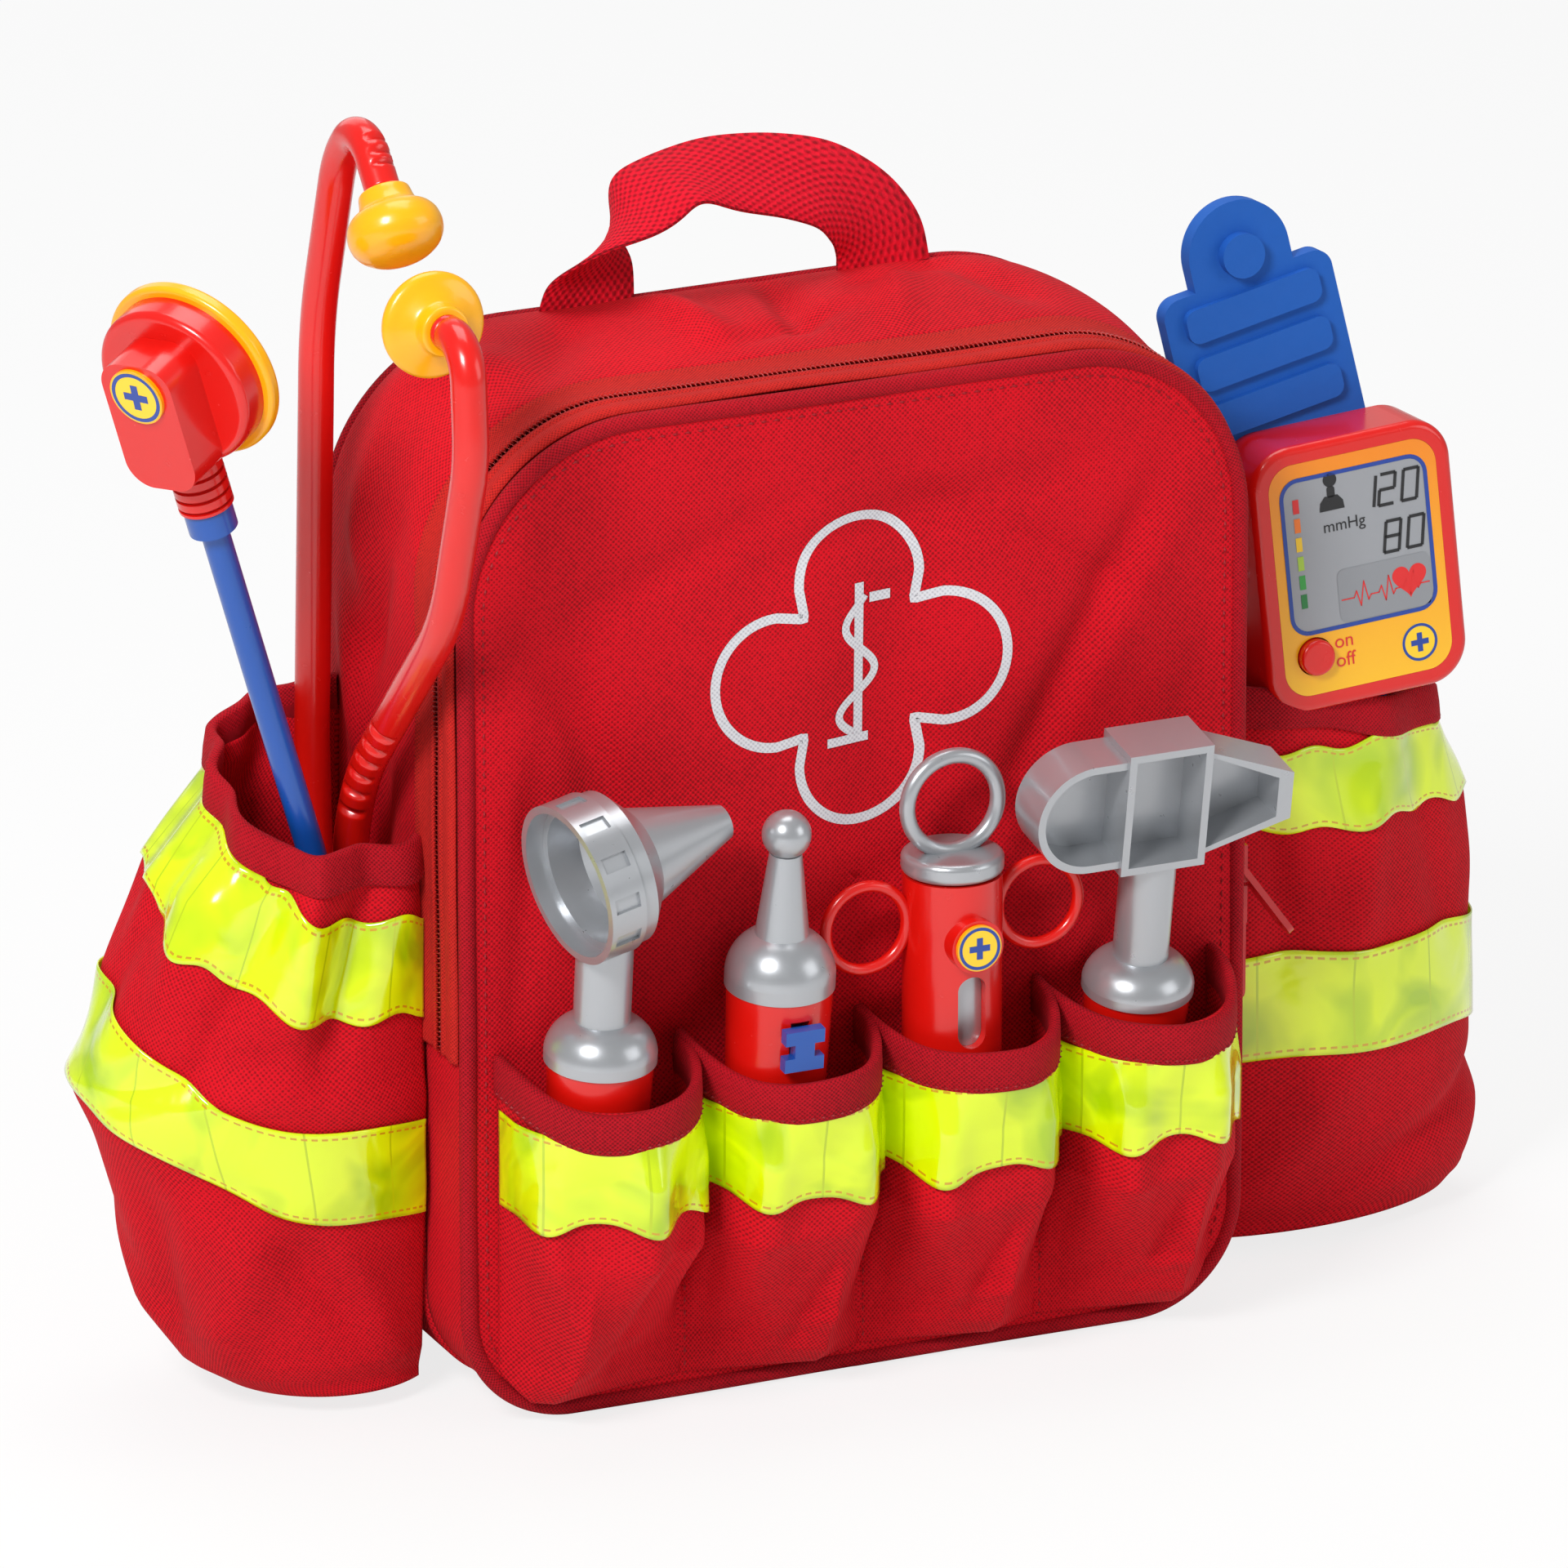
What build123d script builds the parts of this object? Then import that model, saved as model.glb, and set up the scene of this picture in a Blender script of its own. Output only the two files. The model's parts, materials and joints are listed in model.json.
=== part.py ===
"""Toy rescue backpack with its pocketed toy instruments, in millimetres.

X runs to the right as seen from the front, Y to the back and Z up.
The origin is on the ground, under the middle of the bag.
"""

from build123d import *
import math
import os

os.makedirs("parts", exist_ok=True)

# Bag body
bag_width = 215.0
bag_height = 262.0
bag_depth = 90.0
top_corner = 48.0
bottom_corner = 30.0
cloth = 2.0
back_padding = 5.0
piping_diameter = 4.4
seam_gap = 0.1

# Zip round the front panel
zip_end_height = 97.0
zip_setback = 15.0
zip_tape_width = 12.0
zip_tape_sink = 0.8
zip_bead_width = 1.6
zip_gap = 0.4
gore_foot = 6.0

# Front pouches
pouch_count = 4
pouch_pitch = 49.0
pouch_foot = 8.0
pouch_mouth = 94.0
pouch_depth = 36.0
pouch_wall = 1.5
pouch_bulge = ((0.0, 0.3), (0.3, 0.86), (0.58, 1.03))
pouch_binding_height = 10.0
pouch_binding_lap = 0.25
pouch_binding_wall = 2.2
reflective_tape_width = 24.0
reflective_tape_thickness = 0.6

# Side pockets: height and reach of each section, from the foot up
left_pocket_sections = [(14.0, 50.0), (85.0, 80.0), (130.0, 64.0), (153.0, 50.0)]
right_pocket_sections = [(14.0, 72.0), (80.0, 88.0), (115.0, 83.0), (138.0, 76.0)]
pocket_half_depths = [31.0, 35.0, 34.0, 32.0]
left_pocket_middle = 7.0
right_pocket_middle = 12.0
pocket_centre_share = 0.38
pocket_binding_height = 10.0
pocket_binding_lean = 2.0
pocket_binding_wall = 3.0
left_tape_heights = [51.0, 104.0]
left_tape_climb = 36.0
right_tape_heights = [52.0, 112.0]
right_tape_climb = 0.0

# Carry handle and shoulder straps
webbing_width = 26.0
webbing_thickness = 2.0
handle_half_span = 40.0
handle_top = 295.0
handle_steps = 8
handle_twist_delay = 3
strap_width = 38.0
strap_thickness = 7.0
strap_half_spacing = 44.0
strap_top = 240.0
strap_foot = 108.0
strap_bow = 22.0
strap_webbing_width = 20.0
strap_webbing_thickness = 1.6
strap_webbing_foot = 20.0
lock_width = 28.0
lock_height = 20.0
lock_bar = 3.2

# Hand instruments
instrument_shifts = (4.0, 5.0, 4.5, 4.0)
instrument_stands = (16.5, 16.5, 13.4, 16.5)
instrument_leans = (6.0, 6.0, 0.0, 9.5)
instrument_floors = (50.0, 50.0, 50.0, 62.0)
grip_radius = 13.5
grip_foot_radius = 11.6
grip_foot_round = 3.0
shell_wall = 2.0
dome_fullness = (0.68, 0.72)
bore_clearance = 0.08
running_clearance = 0.3

# Otoscope
otoscope_grip_length = 52.0
otoscope_dome_radius = 14.2
otoscope_dome_height = 11.0
otoscope_neck_radius = 7.2
otoscope_drum_height = 104.0
otoscope_drum_radius = 20.8
otoscope_drum_length = 20.0
otoscope_drum_back = 8.0
otoscope_drum_step = 1.0
otoscope_drum_tilt = 10.0
otoscope_drum_turn = 8.0
otoscope_slots = 12
otoscope_slot_width = 4.0
otoscope_slot_depth = 0.9
otoscope_slot_length = 7.0
otoscope_cone_length = 26.0
otoscope_cone_base = 13.0
otoscope_cone_tip = 4.4

# Ball probe with its slide switch
probe_grip_length = 65.0
probe_dome_radius = 13.9
probe_dome_height = 14.0
probe_nozzle_base = 6.8
probe_nozzle_tip = 4.1
probe_nozzle_length = 22.0
probe_ball_radius = 6.2
probe_ball_stand = 5.0
probe_switch_height = 54.0
probe_switch_travel = 2.5
probe_switch_width = 10.5
probe_switch_length = 11.0
probe_switch_thickness = 3.0
probe_stem_width = 4.4
probe_slot_depth = 5.0

# Syringe
syringe_length = 85.0
syringe_hub_length = 20.0
syringe_hub_radius = 11.4
syringe_radius = 12.6
syringe_bore = 10.0
syringe_ring_offset = 23.6
syringe_ring_drop = 11.5
syringe_ring_height = syringe_length - syringe_ring_drop
syringe_ring_radius = 11.0
syringe_ring_wire = 1.5
syringe_boss_drop = 15.0
syringe_boss_height = syringe_length - syringe_boss_drop
syringe_boss_radius = 7.0
syringe_boss_stand = 2.9
syringe_badge_radius = 6.0
syringe_badge_thickness = 1.0
syringe_window_width = 7.6
syringe_window_length = 19.0
syringe_window_gap = 2.0
syringe_window_top = syringe_boss_height - syringe_boss_radius - syringe_window_gap
syringe_window_foot = syringe_window_top - syringe_window_length
plunger_flange_radius = 13.0
plunger_flange_thickness = 5.5
plunger_ring_radius = 12.4
plunger_ring_wire = 2.0
plunger_rod_radius = 3.5
piston_length = 20.0

# Reflex hammer
hammer_grip_length = 36.5
hammer_dome_height = 9.5
hammer_neck_radius = 7.1
hammer_head_height = 91.0
hammer_head_depth = 16.0
hammer_collar_width = 23.0
hammer_collar_height = 34.0
hammer_end_height = 30.0
hammer_reach = 35.0
hammer_nose_height = 13.0
hammer_nose_drop = 1.5

# Zip sliders, parked one above the other at the right end of the zip
slider_width = 9.0
slider_length = 10.0
slider_thickness = 3.0
slider_spacing = 11.0
bridge_width = 2.2
bridge_bar = 1.4
pull_width = 8.0
pull_length = 25.0
pull_thickness = 1.6
pull_window_width = 3.2
pull_window_length = 8.0
pull_hole_radius = 1.7
pull_end_round = 3.2
upper_pull_angle = 36.0
lower_pull_angle = 0.0

# Stethoscope: its two arms lie in one upright plane beside the bag
lyre_x = -118.0
arm_radius = 4.5
arm_pin_height = 97.0
arm_root_drop = 4.0
arm_root = arm_pin_height - arm_root_drop
front_arm_points = [(10.5, arm_root), (-2.0, 160.0), (-62.0, 222.0), (-78.0, 268.0), (-76.0, 298.0), (-63.5, 297.0)]
front_arm_bends = [60.0, 60.0, 40.0, 10.0]
back_arm_points = [(23.5, arm_root), (26.0, 165.0), (20.0, 275.0), (4.0, 322.0), (-10.0, 336.0), (-23.5, 321.4)]
back_arm_bends = [120.0, 100.0, 30.0, 11.0]
ear_ball_radius = 10.5
ear_ball_stand = 7.9
ear_neck_radius = 6.2
ear_neck_length = 6.0
arm_pin_radius = 2.0
yoke_width = 15.0
yoke_cheek = 2.5
yoke_front = 3.0
yoke_back = 31.0
yoke_base = 10.0
arm_pin_rise = 7.0
cheek_crown = 6.0
yoke_floor = arm_pin_height - arm_pin_rise
yoke_foot = yoke_floor - yoke_base
yoke_top = arm_pin_height + cheek_crown
tube_radius = 3.6
tube_floor = 19.9
tube_points = [
    (-162.6, -21.0, 239.9), (-120.4, -7.2, 105.0),
    (-118.0, -2.0, tube_floor), (-118.0, 17.0, tube_floor), (-118.0, 17.0, yoke_foot),
]
tube_bends = [80.0, 8.5, 8.0]
collar_radius = 6.2
collar_length = 7.0
chest_neck_radius = 7.0
chest_neck_length = 12.0
chest_neck_ribs = 4
chest_disc_radius = 21.5
chest_disc_back = -8.0
chest_disc_front = 0.0
chest_head_width = 21.0
chest_head_height = 36.0
chest_head_front = 12.0
chest_rim_radius = 24.0
chest_rim_thickness = 4.0
chest_badge_radius = 7.6
chest_badge_rise = 6.0
badge_thickness = 1.0
chest_facing = (-0.857, -0.515, 0.0)

# Blood pressure monitor on its cuff
monitor_origin = (153.0, -3.5, 148.4)
monitor_lean = 4.0
monitor_tilt = 5.0
case_width = 56.0
case_height = 70.0
case_depth = 20.0
case_corner = 11.0
face_margin = 4.5
face_thickness = 1.2
face_corner = 7.0
screen_width = 41.0
screen_corner = 5.0
screen_drop = 4.0
button_radius = 4.7
button_side = 11.0
button_rise = 10.0
button_screen_gap = 1.3
screen_foot = button_rise + button_radius + button_screen_gap
screen_height = case_height - 2 * face_margin - screen_drop - screen_foot
button_stand = 2.5
button_travel = 1.5
cuff_width = 48.0
cuff_thickness = 5.0
cuff_shoulder = 112.0
cuff_lean = 8.0
cuff_tab_radius = 14.0
cuff_tab_side = 5.0
cuff_top = 132.0
cuff_tail_width = 26.0
cuff_tail_length = 42.0
cuff_stud_radius = 5.8
cuff_stud_height = 3.0
cuff_rib_count = 3
cuff_rib_pitch = 13.0
cuff_rib_drop = 8.0
cuff_rib_height = 9.0
cuff_rib_stand = 2.0

half_width = bag_width / 2
front = -bag_depth / 2
back = bag_depth / 2
piping_radius = piping_diameter / 2
piping_y = front + piping_radius
gusset_front = front + piping_diameter + seam_gap
gusset_back = back - piping_diameter - seam_gap
coil_y = front + zip_setback
zip_tape_back_edge = coil_y + zip_tape_width
panel_front = piping_y - cloth / 2


def at_y(y):
    """Upright plane seen from the front, at depth y; a positive extrusion comes to the front."""
    return Plane.XZ.offset(-y)


def bag_outline(y, inset):
    """Rounded upright outline of the bag at depth y, drawn in by inset."""
    with BuildSketch(at_y(y)) as drawing:
        with Locations((0, bag_height / 2)):
            Rectangle(bag_width - 2 * inset, bag_height - 2 * inset)
        corners = drawing.vertices().group_by(Axis.Y)
        fillet(corners[-1], top_corner - inset)
        fillet(drawing.vertices().group_by(Axis.Y)[0], bottom_corner - inset)
    return drawing.sketch


def gusset_band(start, end, outer_inset, inner_inset):
    """Closed band that follows the bag's outline between two depths."""
    with BuildPart() as band:
        extrude(bag_outline(end, outer_inset), amount=end - start)
        extrude(bag_outline(end, inner_inset), amount=end - start, mode=Mode.SUBTRACT)
    return band.part


def finish(piece, name):
    """Label a finished piece and write it to its own file."""
    piece.part.label = name
    export_step(piece.part, f"parts/{name}.step")


# Front panel with its piping
with BuildPart() as front_panel:
    extrude(bag_outline(piping_y + cloth / 2, piping_diameter + seam_gap), amount=cloth)
finish(front_panel, "front_panel")

for name, depth in (("front_piping", piping_y), ("back_piping", back - piping_radius)):
    cord_line = bag_outline(depth, piping_radius).face().outer_wire()
    with BuildPart() as piping:
        with BuildSketch(Plane(origin=cord_line @ 0, z_dir=cord_line % 0)):
            Circle(piping_radius)
        sweep(path=cord_line)
    finish(piping, name)

# Padded back panel
with BuildPart() as back_panel:
    extrude(bag_outline(back, piping_diameter + seam_gap), amount=back_padding)
    chamfer(back_panel.faces().sort_by(Axis.Y)[-1].edges(), cloth / 2)
finish(back_panel, "back_panel")

# Zip tapes: each is a flat tape with a raised bead of teeth along its edge
zip_sides = (
    ("zip_tape_front", gusset_front, coil_y - zip_gap / 2, -1),
    ("zip_tape_back", coil_y + zip_gap / 2, zip_tape_back_edge, 1),
)
for name, start, end, side in zip_sides:
    bead_start = coil_y - zip_gap / 2 - zip_bead_width if side < 0 else coil_y + zip_gap / 2
    with BuildPart() as tape:
        add(gusset_band(start, end, zip_tape_sink, cloth))
        add(gusset_band(bead_start, bead_start + zip_bead_width, 0, cloth))
        split(bisect_by=Plane.XY.offset(zip_end_height), keep=Keep.TOP)
    finish(tape, name)

# Gusset behind the zip, and the gusset below the zip's two ends
with BuildPart() as upper_gusset:
    add(gusset_band(zip_tape_back_edge, gusset_back, 0, cloth))
    split(bisect_by=Plane.XY.offset(zip_end_height), keep=Keep.TOP)
finish(upper_gusset, "upper_gusset")

gore_height = zip_end_height - gore_foot
gore_middle = (gusset_front + zip_tape_back_edge) / 2
gore_depth = zip_tape_back_edge - gusset_front
with BuildPart() as lower_gusset:
    add(gusset_band(gusset_front, gusset_back, 0, cloth))
    split(bisect_by=Plane.XY.offset(zip_end_height), keep=Keep.BOTTOM)
    with Locations((0, gore_middle, gore_foot + gore_height / 2)):
        Box(2 * bag_width, gore_depth, gore_height, mode=Mode.SUBTRACT)
finish(lower_gusset, "lower_gusset")

# Side gores: the soft strips between the lower gusset and the front panel
for name, side in (("side_gore_left", -1), ("side_gore_right", 1)):
    with BuildPart() as gore:
        add(gusset_band(gusset_front, zip_tape_back_edge, 0, cloth))
        with Locations((side * half_width / 2, gore_middle, gore_foot + gore_height / 2)):
            Box(half_width, gore_depth, gore_height, mode=Mode.INTERSECT)
    finish(gore, name)

# Front pouches, each a half round sleeve sewn to the front panel
pouch_half = (pouch_pitch - seam_gap) / 2
pouch_face = panel_front - seam_gap
pouch_length = pouch_mouth - pouch_foot
pouch_sections = [(pouch_foot + rise * pouch_length, reach * pouch_depth) for rise, reach in pouch_bulge]
pouch_sections.append((pouch_mouth - pouch_binding_height, pouch_depth))
pouch_middles = [(i - (pouch_count - 1) / 2) * pouch_pitch for i in range(pouch_count)]


def pouch_form(middle, growth, floor):
    """Solid half round pouch shape, grown outwards by growth, with its foot raised by floor."""
    with BuildPart() as form:
        for height, reach in pouch_sections:
            lift = floor if height == pouch_foot else 0
            with BuildSketch(Plane.XY.offset(height + lift)):
                with Locations((middle, pouch_face)):
                    Ellipse(pouch_half + growth, reach + growth)
        loft()
        split(bisect_by=Plane.XZ.offset(-pouch_face), keep=Keep.TOP)
    return form.part


for number, middle in enumerate(pouch_middles, 1):
    with BuildPart() as pouch:
        add(pouch_form(middle, 0, 0))
        add(pouch_form(middle, -pouch_wall, pouch_wall), mode=Mode.SUBTRACT)
        extrude(bag_outline(panel_front, piping_diameter + seam_gap), amount=bag_depth, mode=Mode.INTERSECT)
    finish(pouch, f"front_pouch_{number}")

binding_foot = pouch_mouth - pouch_binding_height
binding_reach = pouch_depth + pouch_binding_wall - pouch_wall
with BuildPart() as pouch_binding:
    for middle in pouch_middles:
        with BuildSketch(Plane.XY.offset(binding_foot)):
            with Locations((middle, pouch_face)):
                Ellipse(pouch_pitch / 2 + pouch_binding_lap, binding_reach)
        extrude(amount=pouch_binding_height)
    for middle in pouch_middles:
        with BuildSketch(Plane.XY.offset(binding_foot)):
            with Locations((middle, pouch_face)):
                Ellipse(
                    pouch_pitch / 2 + pouch_binding_lap - pouch_binding_wall,
                    binding_reach - pouch_binding_wall,
                )
        extrude(amount=pouch_binding_height, mode=Mode.SUBTRACT)
    split(bisect_by=Plane.XZ.offset(-pouch_face), keep=Keep.TOP)
finish(pouch_binding, "front_pouch_binding")

tape_middle_height = binding_foot - reflective_tape_width / 2


def pouch_tape_skin(middle):
    """Reflective tape as a thin skin over one pouch, under its binding."""
    with BuildPart() as skin:
        add(pouch_form(middle, seam_gap + reflective_tape_thickness, 0))
        add(pouch_form(middle, seam_gap, 0), mode=Mode.SUBTRACT)
        with Locations((middle, pouch_face - bag_depth / 2, tape_middle_height)):
            Box(2 * pouch_half, bag_depth, reflective_tape_width, mode=Mode.INTERSECT)
    return skin.part


with BuildPart() as pouch_tape:
    for middle in pouch_middles:
        add(pouch_tape_skin(middle))
finish(pouch_tape, "front_pouch_tape")


def pocket_form(side, sections, middle, growth, floor):
    """Solid side pocket shape, grown outwards by growth, with its foot raised by floor."""
    with BuildPart() as form:
        for (height, reach), half_depth in zip(sections, pocket_half_depths):
            lift = floor if height == sections[0][0] else 0
            centre = side * (half_width + pocket_centre_share * reach)
            with BuildSketch(Plane.XY.offset(height + lift)):
                with Locations((centre, middle)):
                    Ellipse((1 - pocket_centre_share) * reach + growth, half_depth + growth)
        loft()
        wall_plane = Plane.YZ.offset(side * (half_width + seam_gap))
        split(bisect_by=wall_plane, keep=Keep.TOP if side > 0 else Keep.BOTTOM)
    return form.part


def side_tape_skin(side, sections, middle, height, climb):
    """Reflective tape as a thin skin round a side pocket, which rises by climb away from the bag."""
    far = half_width + max(reach for level, reach in sections)
    top = height + reflective_tape_width
    with BuildPart() as skin:
        with BuildSketch(Plane.XZ.offset(bag_depth)):
            with BuildLine():
                Polyline(
                    (side * half_width, height),
                    (side * far, height + climb),
                    (side * far, top + climb),
                    (side * half_width, top),
                    close=True,
                )
            make_face()
        extrude(amount=-2 * bag_depth)
        add(pocket_form(side, sections, middle, seam_gap + reflective_tape_thickness, 0), mode=Mode.INTERSECT)
        add(pocket_form(side, sections, middle, seam_gap, 0), mode=Mode.SUBTRACT)
    return skin.part


side_pockets = (
    ("left", -1, left_pocket_sections, left_pocket_middle, left_tape_heights, left_tape_climb),
    ("right", 1, right_pocket_sections, right_pocket_middle, right_tape_heights, right_tape_climb),
)
for name, side, sections, middle, tape_heights, climb in side_pockets:
    wall_plane = Plane.YZ.offset(side * (half_width + seam_gap))
    kept = Keep.TOP if side > 0 else Keep.BOTTOM
    with BuildPart() as side_pocket:
        add(pocket_form(side, sections, middle, 0, 0))
        add(pocket_form(side, sections, middle, -cloth, cloth), mode=Mode.SUBTRACT)
    finish(side_pocket, f"side_pocket_{name}")

    # Elastic binding drawn in a little towards the mouth
    mouth_height, mouth_reach = sections[-1]
    rim_centre = side * (half_width + pocket_centre_share * mouth_reach)
    rim_length = (1 - pocket_centre_share) * mouth_reach
    rim_depth = pocket_half_depths[-1]
    with BuildPart() as side_binding:
        for inset, mode in ((0, Mode.ADD), (pocket_binding_wall, Mode.SUBTRACT)):
            with BuildSketch(Plane.XY.offset(mouth_height)):
                with Locations((rim_centre, middle)):
                    Ellipse(rim_length + cloth / 2 - inset, rim_depth + cloth / 2 - inset)
            with BuildSketch(Plane.XY.offset(mouth_height + pocket_binding_height)):
                with Locations((rim_centre, middle)):
                    Ellipse(
                        rim_length + cloth / 2 - inset - pocket_binding_lean,
                        rim_depth + cloth / 2 - inset,
                    )
            loft(mode=mode)
        split(bisect_by=wall_plane, keep=kept)
    finish(side_binding, f"side_pocket_binding_{name}")

    # Two reflective tapes
    with BuildPart() as side_tapes:
        for height in tape_heights:
            add(side_tape_skin(side, sections, middle, height, climb))
    finish(side_tapes, f"side_pocket_tapes_{name}")

# Carry handle: webbing that lies flat in the back seam and turns edge up over its top
handle_y = gusset_back - webbing_thickness
handle_foot = bag_height + seam_gap + webbing_thickness / 2
handle_rise = handle_top - handle_foot - webbing_thickness / 2
with BuildPart() as carry_handle:
    for step in range(handle_steps + 1):
        turn = math.pi * step / handle_steps
        place = Vector(-handle_half_span * math.cos(turn), handle_y, handle_foot + handle_rise * math.sin(turn))
        along = Vector(handle_half_span * math.sin(turn), 0, handle_rise * math.cos(turn)).normalized()
        across = Vector(0, 1, 0).cross(along)
        twist = math.pi / 2 * math.sin(turn) ** handle_twist_delay
        width_way = across * math.cos(twist) + Vector(0, 1, 0) * math.sin(twist)
        with BuildSketch(Plane(origin=place, x_dir=width_way, z_dir=along)):
            Rectangle(webbing_width, webbing_thickness)
    loft()
    with Locations((0, handle_y, handle_foot)):
        with GridLocations(2 * handle_half_span, 0, 2, 1):
            Cylinder(webbing_thickness / 2, webbing_width, rotation=(0, 90, 0))
finish(carry_handle, "carry_handle")

# Shoulder straps on the hidden back: a padded strap, its webbing and a ladder lock
strap_height = strap_top - strap_foot
strap_start = back + seam_gap
strap_face = strap_start + strap_thickness
webbing_top = strap_foot - 2 * seam_gap
webbing_length = webbing_top - strap_webbing_foot
webbing_y = strap_start + strap_webbing_thickness / 2
lock_y = strap_start + lock_bar
for name, side in (("left", -1), ("right", 1)):
    strap_x = side * strap_half_spacing
    strap_middle = (strap_top + strap_foot) / 2
    with BuildPart() as strap:
        with BuildSketch(Plane.YZ.offset(strap_x - strap_width / 2)):
            with BuildLine():
                crown = strap_start + strap_bow
                ThreePointArc(
                    (strap_start, strap_top), (crown, strap_middle), (strap_start, strap_foot + lock_height)
                )
                Line((strap_start, strap_foot + lock_height), (strap_face, strap_foot + lock_height))
                ThreePointArc(
                    (strap_face, strap_foot + lock_height),
                    (crown + strap_thickness, strap_middle),
                    (strap_start, strap_top + strap_thickness),
                )
                Line((strap_start, strap_top + strap_thickness), (strap_start, strap_top))
            make_face()
        extrude(amount=strap_width)
    finish(strap, f"shoulder_strap_{name}")

    with BuildPart() as lock:
        with BuildSketch(Plane.XZ.offset(-lock_y - lock_bar / 2)):
            with Locations((strap_x, strap_foot + lock_height / 2 - seam_gap)):
                Rectangle(lock_width, lock_height)
                slot_height = (lock_height - 3 * lock_bar) / 2
                with GridLocations(0, slot_height + lock_bar, 1, 2):
                    Rectangle(strap_webbing_width + 2 * running_clearance, slot_height, mode=Mode.SUBTRACT)
        extrude(amount=lock_bar)
    finish(lock, f"ladder_lock_{name}")

    with BuildPart() as webbing:
        with Locations((strap_x, webbing_y, (webbing_top + strap_webbing_foot) / 2)):
            Box(strap_webbing_width, strap_webbing_thickness, webbing_length)
    finish(webbing, f"strap_webbing_{name}")


# Hand instruments stand in the pouches, leaning forward a little
def instrument_base(number):
    """Plane at the foot of an instrument, square to its leaning axis, which clears the pouch's mouth."""
    lean = math.radians(instrument_leans[number])
    floor = instrument_floors[number]
    foot_y = pouch_face - instrument_stands[number] + (pouch_mouth - floor) * math.tan(lean)
    return Plane(
        origin=(pouch_middles[number] - instrument_shifts[number], foot_y, floor),
        x_dir=(1, 0, 0),
        z_dir=(0, -math.sin(lean), math.cos(lean)),
    )


otoscope_base, probe_base, syringe_base, hammer_base = [instrument_base(i) for i in range(pouch_count)]


def upright(base, forward=0):
    """Plane through an instrument's axis seen from the front: x to the right, y up the axis."""
    return Plane(origin=base.origin - base.y_dir * forward, x_dir=base.x_dir, z_dir=base.y_dir * -1)


def axis_of(base):
    """Long axis of an instrument."""
    return Axis(base.origin, base.z_dir)


def grip(base, length):
    """Moulded grip: a tapered round handle with a rounded foot."""
    with BuildPart() as handle:
        with BuildSketch(upright(base)):
            with BuildLine():
                Polyline(
                    (0, length), (0, 0), (grip_foot_radius - grip_foot_round, 0),
                    (grip_foot_radius, grip_foot_round), (grip_radius, length), close=True,
                )
            make_face()
        revolve(axis=axis_of(base))
    return handle.part


def domed_neck(base, start, dome_radius, dome_height, neck_radius, neck_end, end_radius):
    """Domed shoulder that seats on a grip and runs up into a round neck."""
    with BuildPart() as neck:
        with BuildSketch(upright(base)):
            with BuildLine():
                rim = start + dome_height / 4
                Line((0, start), (dome_radius, start))
                Line((dome_radius, start), (dome_radius, rim))
                ThreePointArc(
                    (dome_radius, rim),
                    (
                        neck_radius + dome_fullness[0] * (dome_radius - neck_radius),
                        start + dome_fullness[1] * dome_height,
                    ),
                    (neck_radius, start + dome_height),
                )
                Line((neck_radius, start + dome_height), (end_radius, neck_end))
                Line((end_radius, neck_end), (0, neck_end))
                Line((0, neck_end), (0, start))
            make_face()
        revolve(axis=axis_of(base))
    return neck.part


# Otoscope: grip, neck, open slotted drum and viewing cone
with BuildPart() as otoscope_grip:
    add(grip(otoscope_base, otoscope_grip_length))
finish(otoscope_grip, "otoscope_grip")

tilt = math.radians(otoscope_drum_tilt)
turn = math.radians(otoscope_drum_turn)
drum_way = Vector(math.cos(tilt) * math.cos(turn), math.cos(tilt) * math.sin(turn), math.sin(tilt))
drum_centre = otoscope_base.origin + otoscope_base.z_dir * otoscope_drum_height
drum_plane = Plane(origin=drum_centre, x_dir=Vector(0, 0, 1).cross(drum_way), z_dir=drum_way)
drum_profile = Plane(origin=drum_centre, x_dir=drum_plane.x_dir, z_dir=drum_plane.y_dir * -1)
drum_back = otoscope_drum_back
drum_front = drum_back - otoscope_drum_length
drum_rim = otoscope_drum_length / 2
with BuildPart() as otoscope_drum:
    with BuildSketch(drum_profile):
        with BuildLine():
            Polyline(
                (0, drum_back), (otoscope_cone_base, drum_back),
                (otoscope_drum_radius - otoscope_drum_step, drum_back - 3 * shell_wall),
                (otoscope_drum_radius - otoscope_drum_step, drum_front + drum_rim), (otoscope_drum_radius, drum_front + drum_rim),
                (otoscope_drum_radius, drum_front), (otoscope_drum_radius - shell_wall, drum_front),
                (otoscope_drum_radius - shell_wall, drum_front + drum_rim / 2),
                (otoscope_drum_radius - 2 * shell_wall, drum_front + drum_rim / 2),
                (otoscope_drum_radius - 2 * shell_wall, drum_back - 3 * shell_wall),
                (otoscope_cone_base - shell_wall, drum_back - shell_wall), (0, drum_back - shell_wall), close=True,
            )
        make_face()
    revolve(axis=Axis(drum_centre, drum_way))
    with Locations(drum_plane.offset(drum_front + drum_rim / 2)):
        with PolarLocations(otoscope_drum_radius + shell_wall - otoscope_slot_depth, otoscope_slots):
            Box(2 * shell_wall, otoscope_slot_width, otoscope_slot_length, mode=Mode.SUBTRACT)
finish(otoscope_drum, "otoscope_drum")

with BuildPart() as otoscope_neck:
    add(
        domed_neck(
            otoscope_base, otoscope_grip_length, otoscope_dome_radius, otoscope_dome_height,
            otoscope_neck_radius, otoscope_drum_height - otoscope_drum_radius / 2, otoscope_neck_radius,
        )
    )
    with BuildSketch(drum_plane.offset(drum_front - shell_wall)):
        Circle(otoscope_drum_radius + seam_gap)
    extrude(amount=otoscope_drum_length + 2 * shell_wall, mode=Mode.SUBTRACT)
finish(otoscope_neck, "otoscope_neck")

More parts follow.
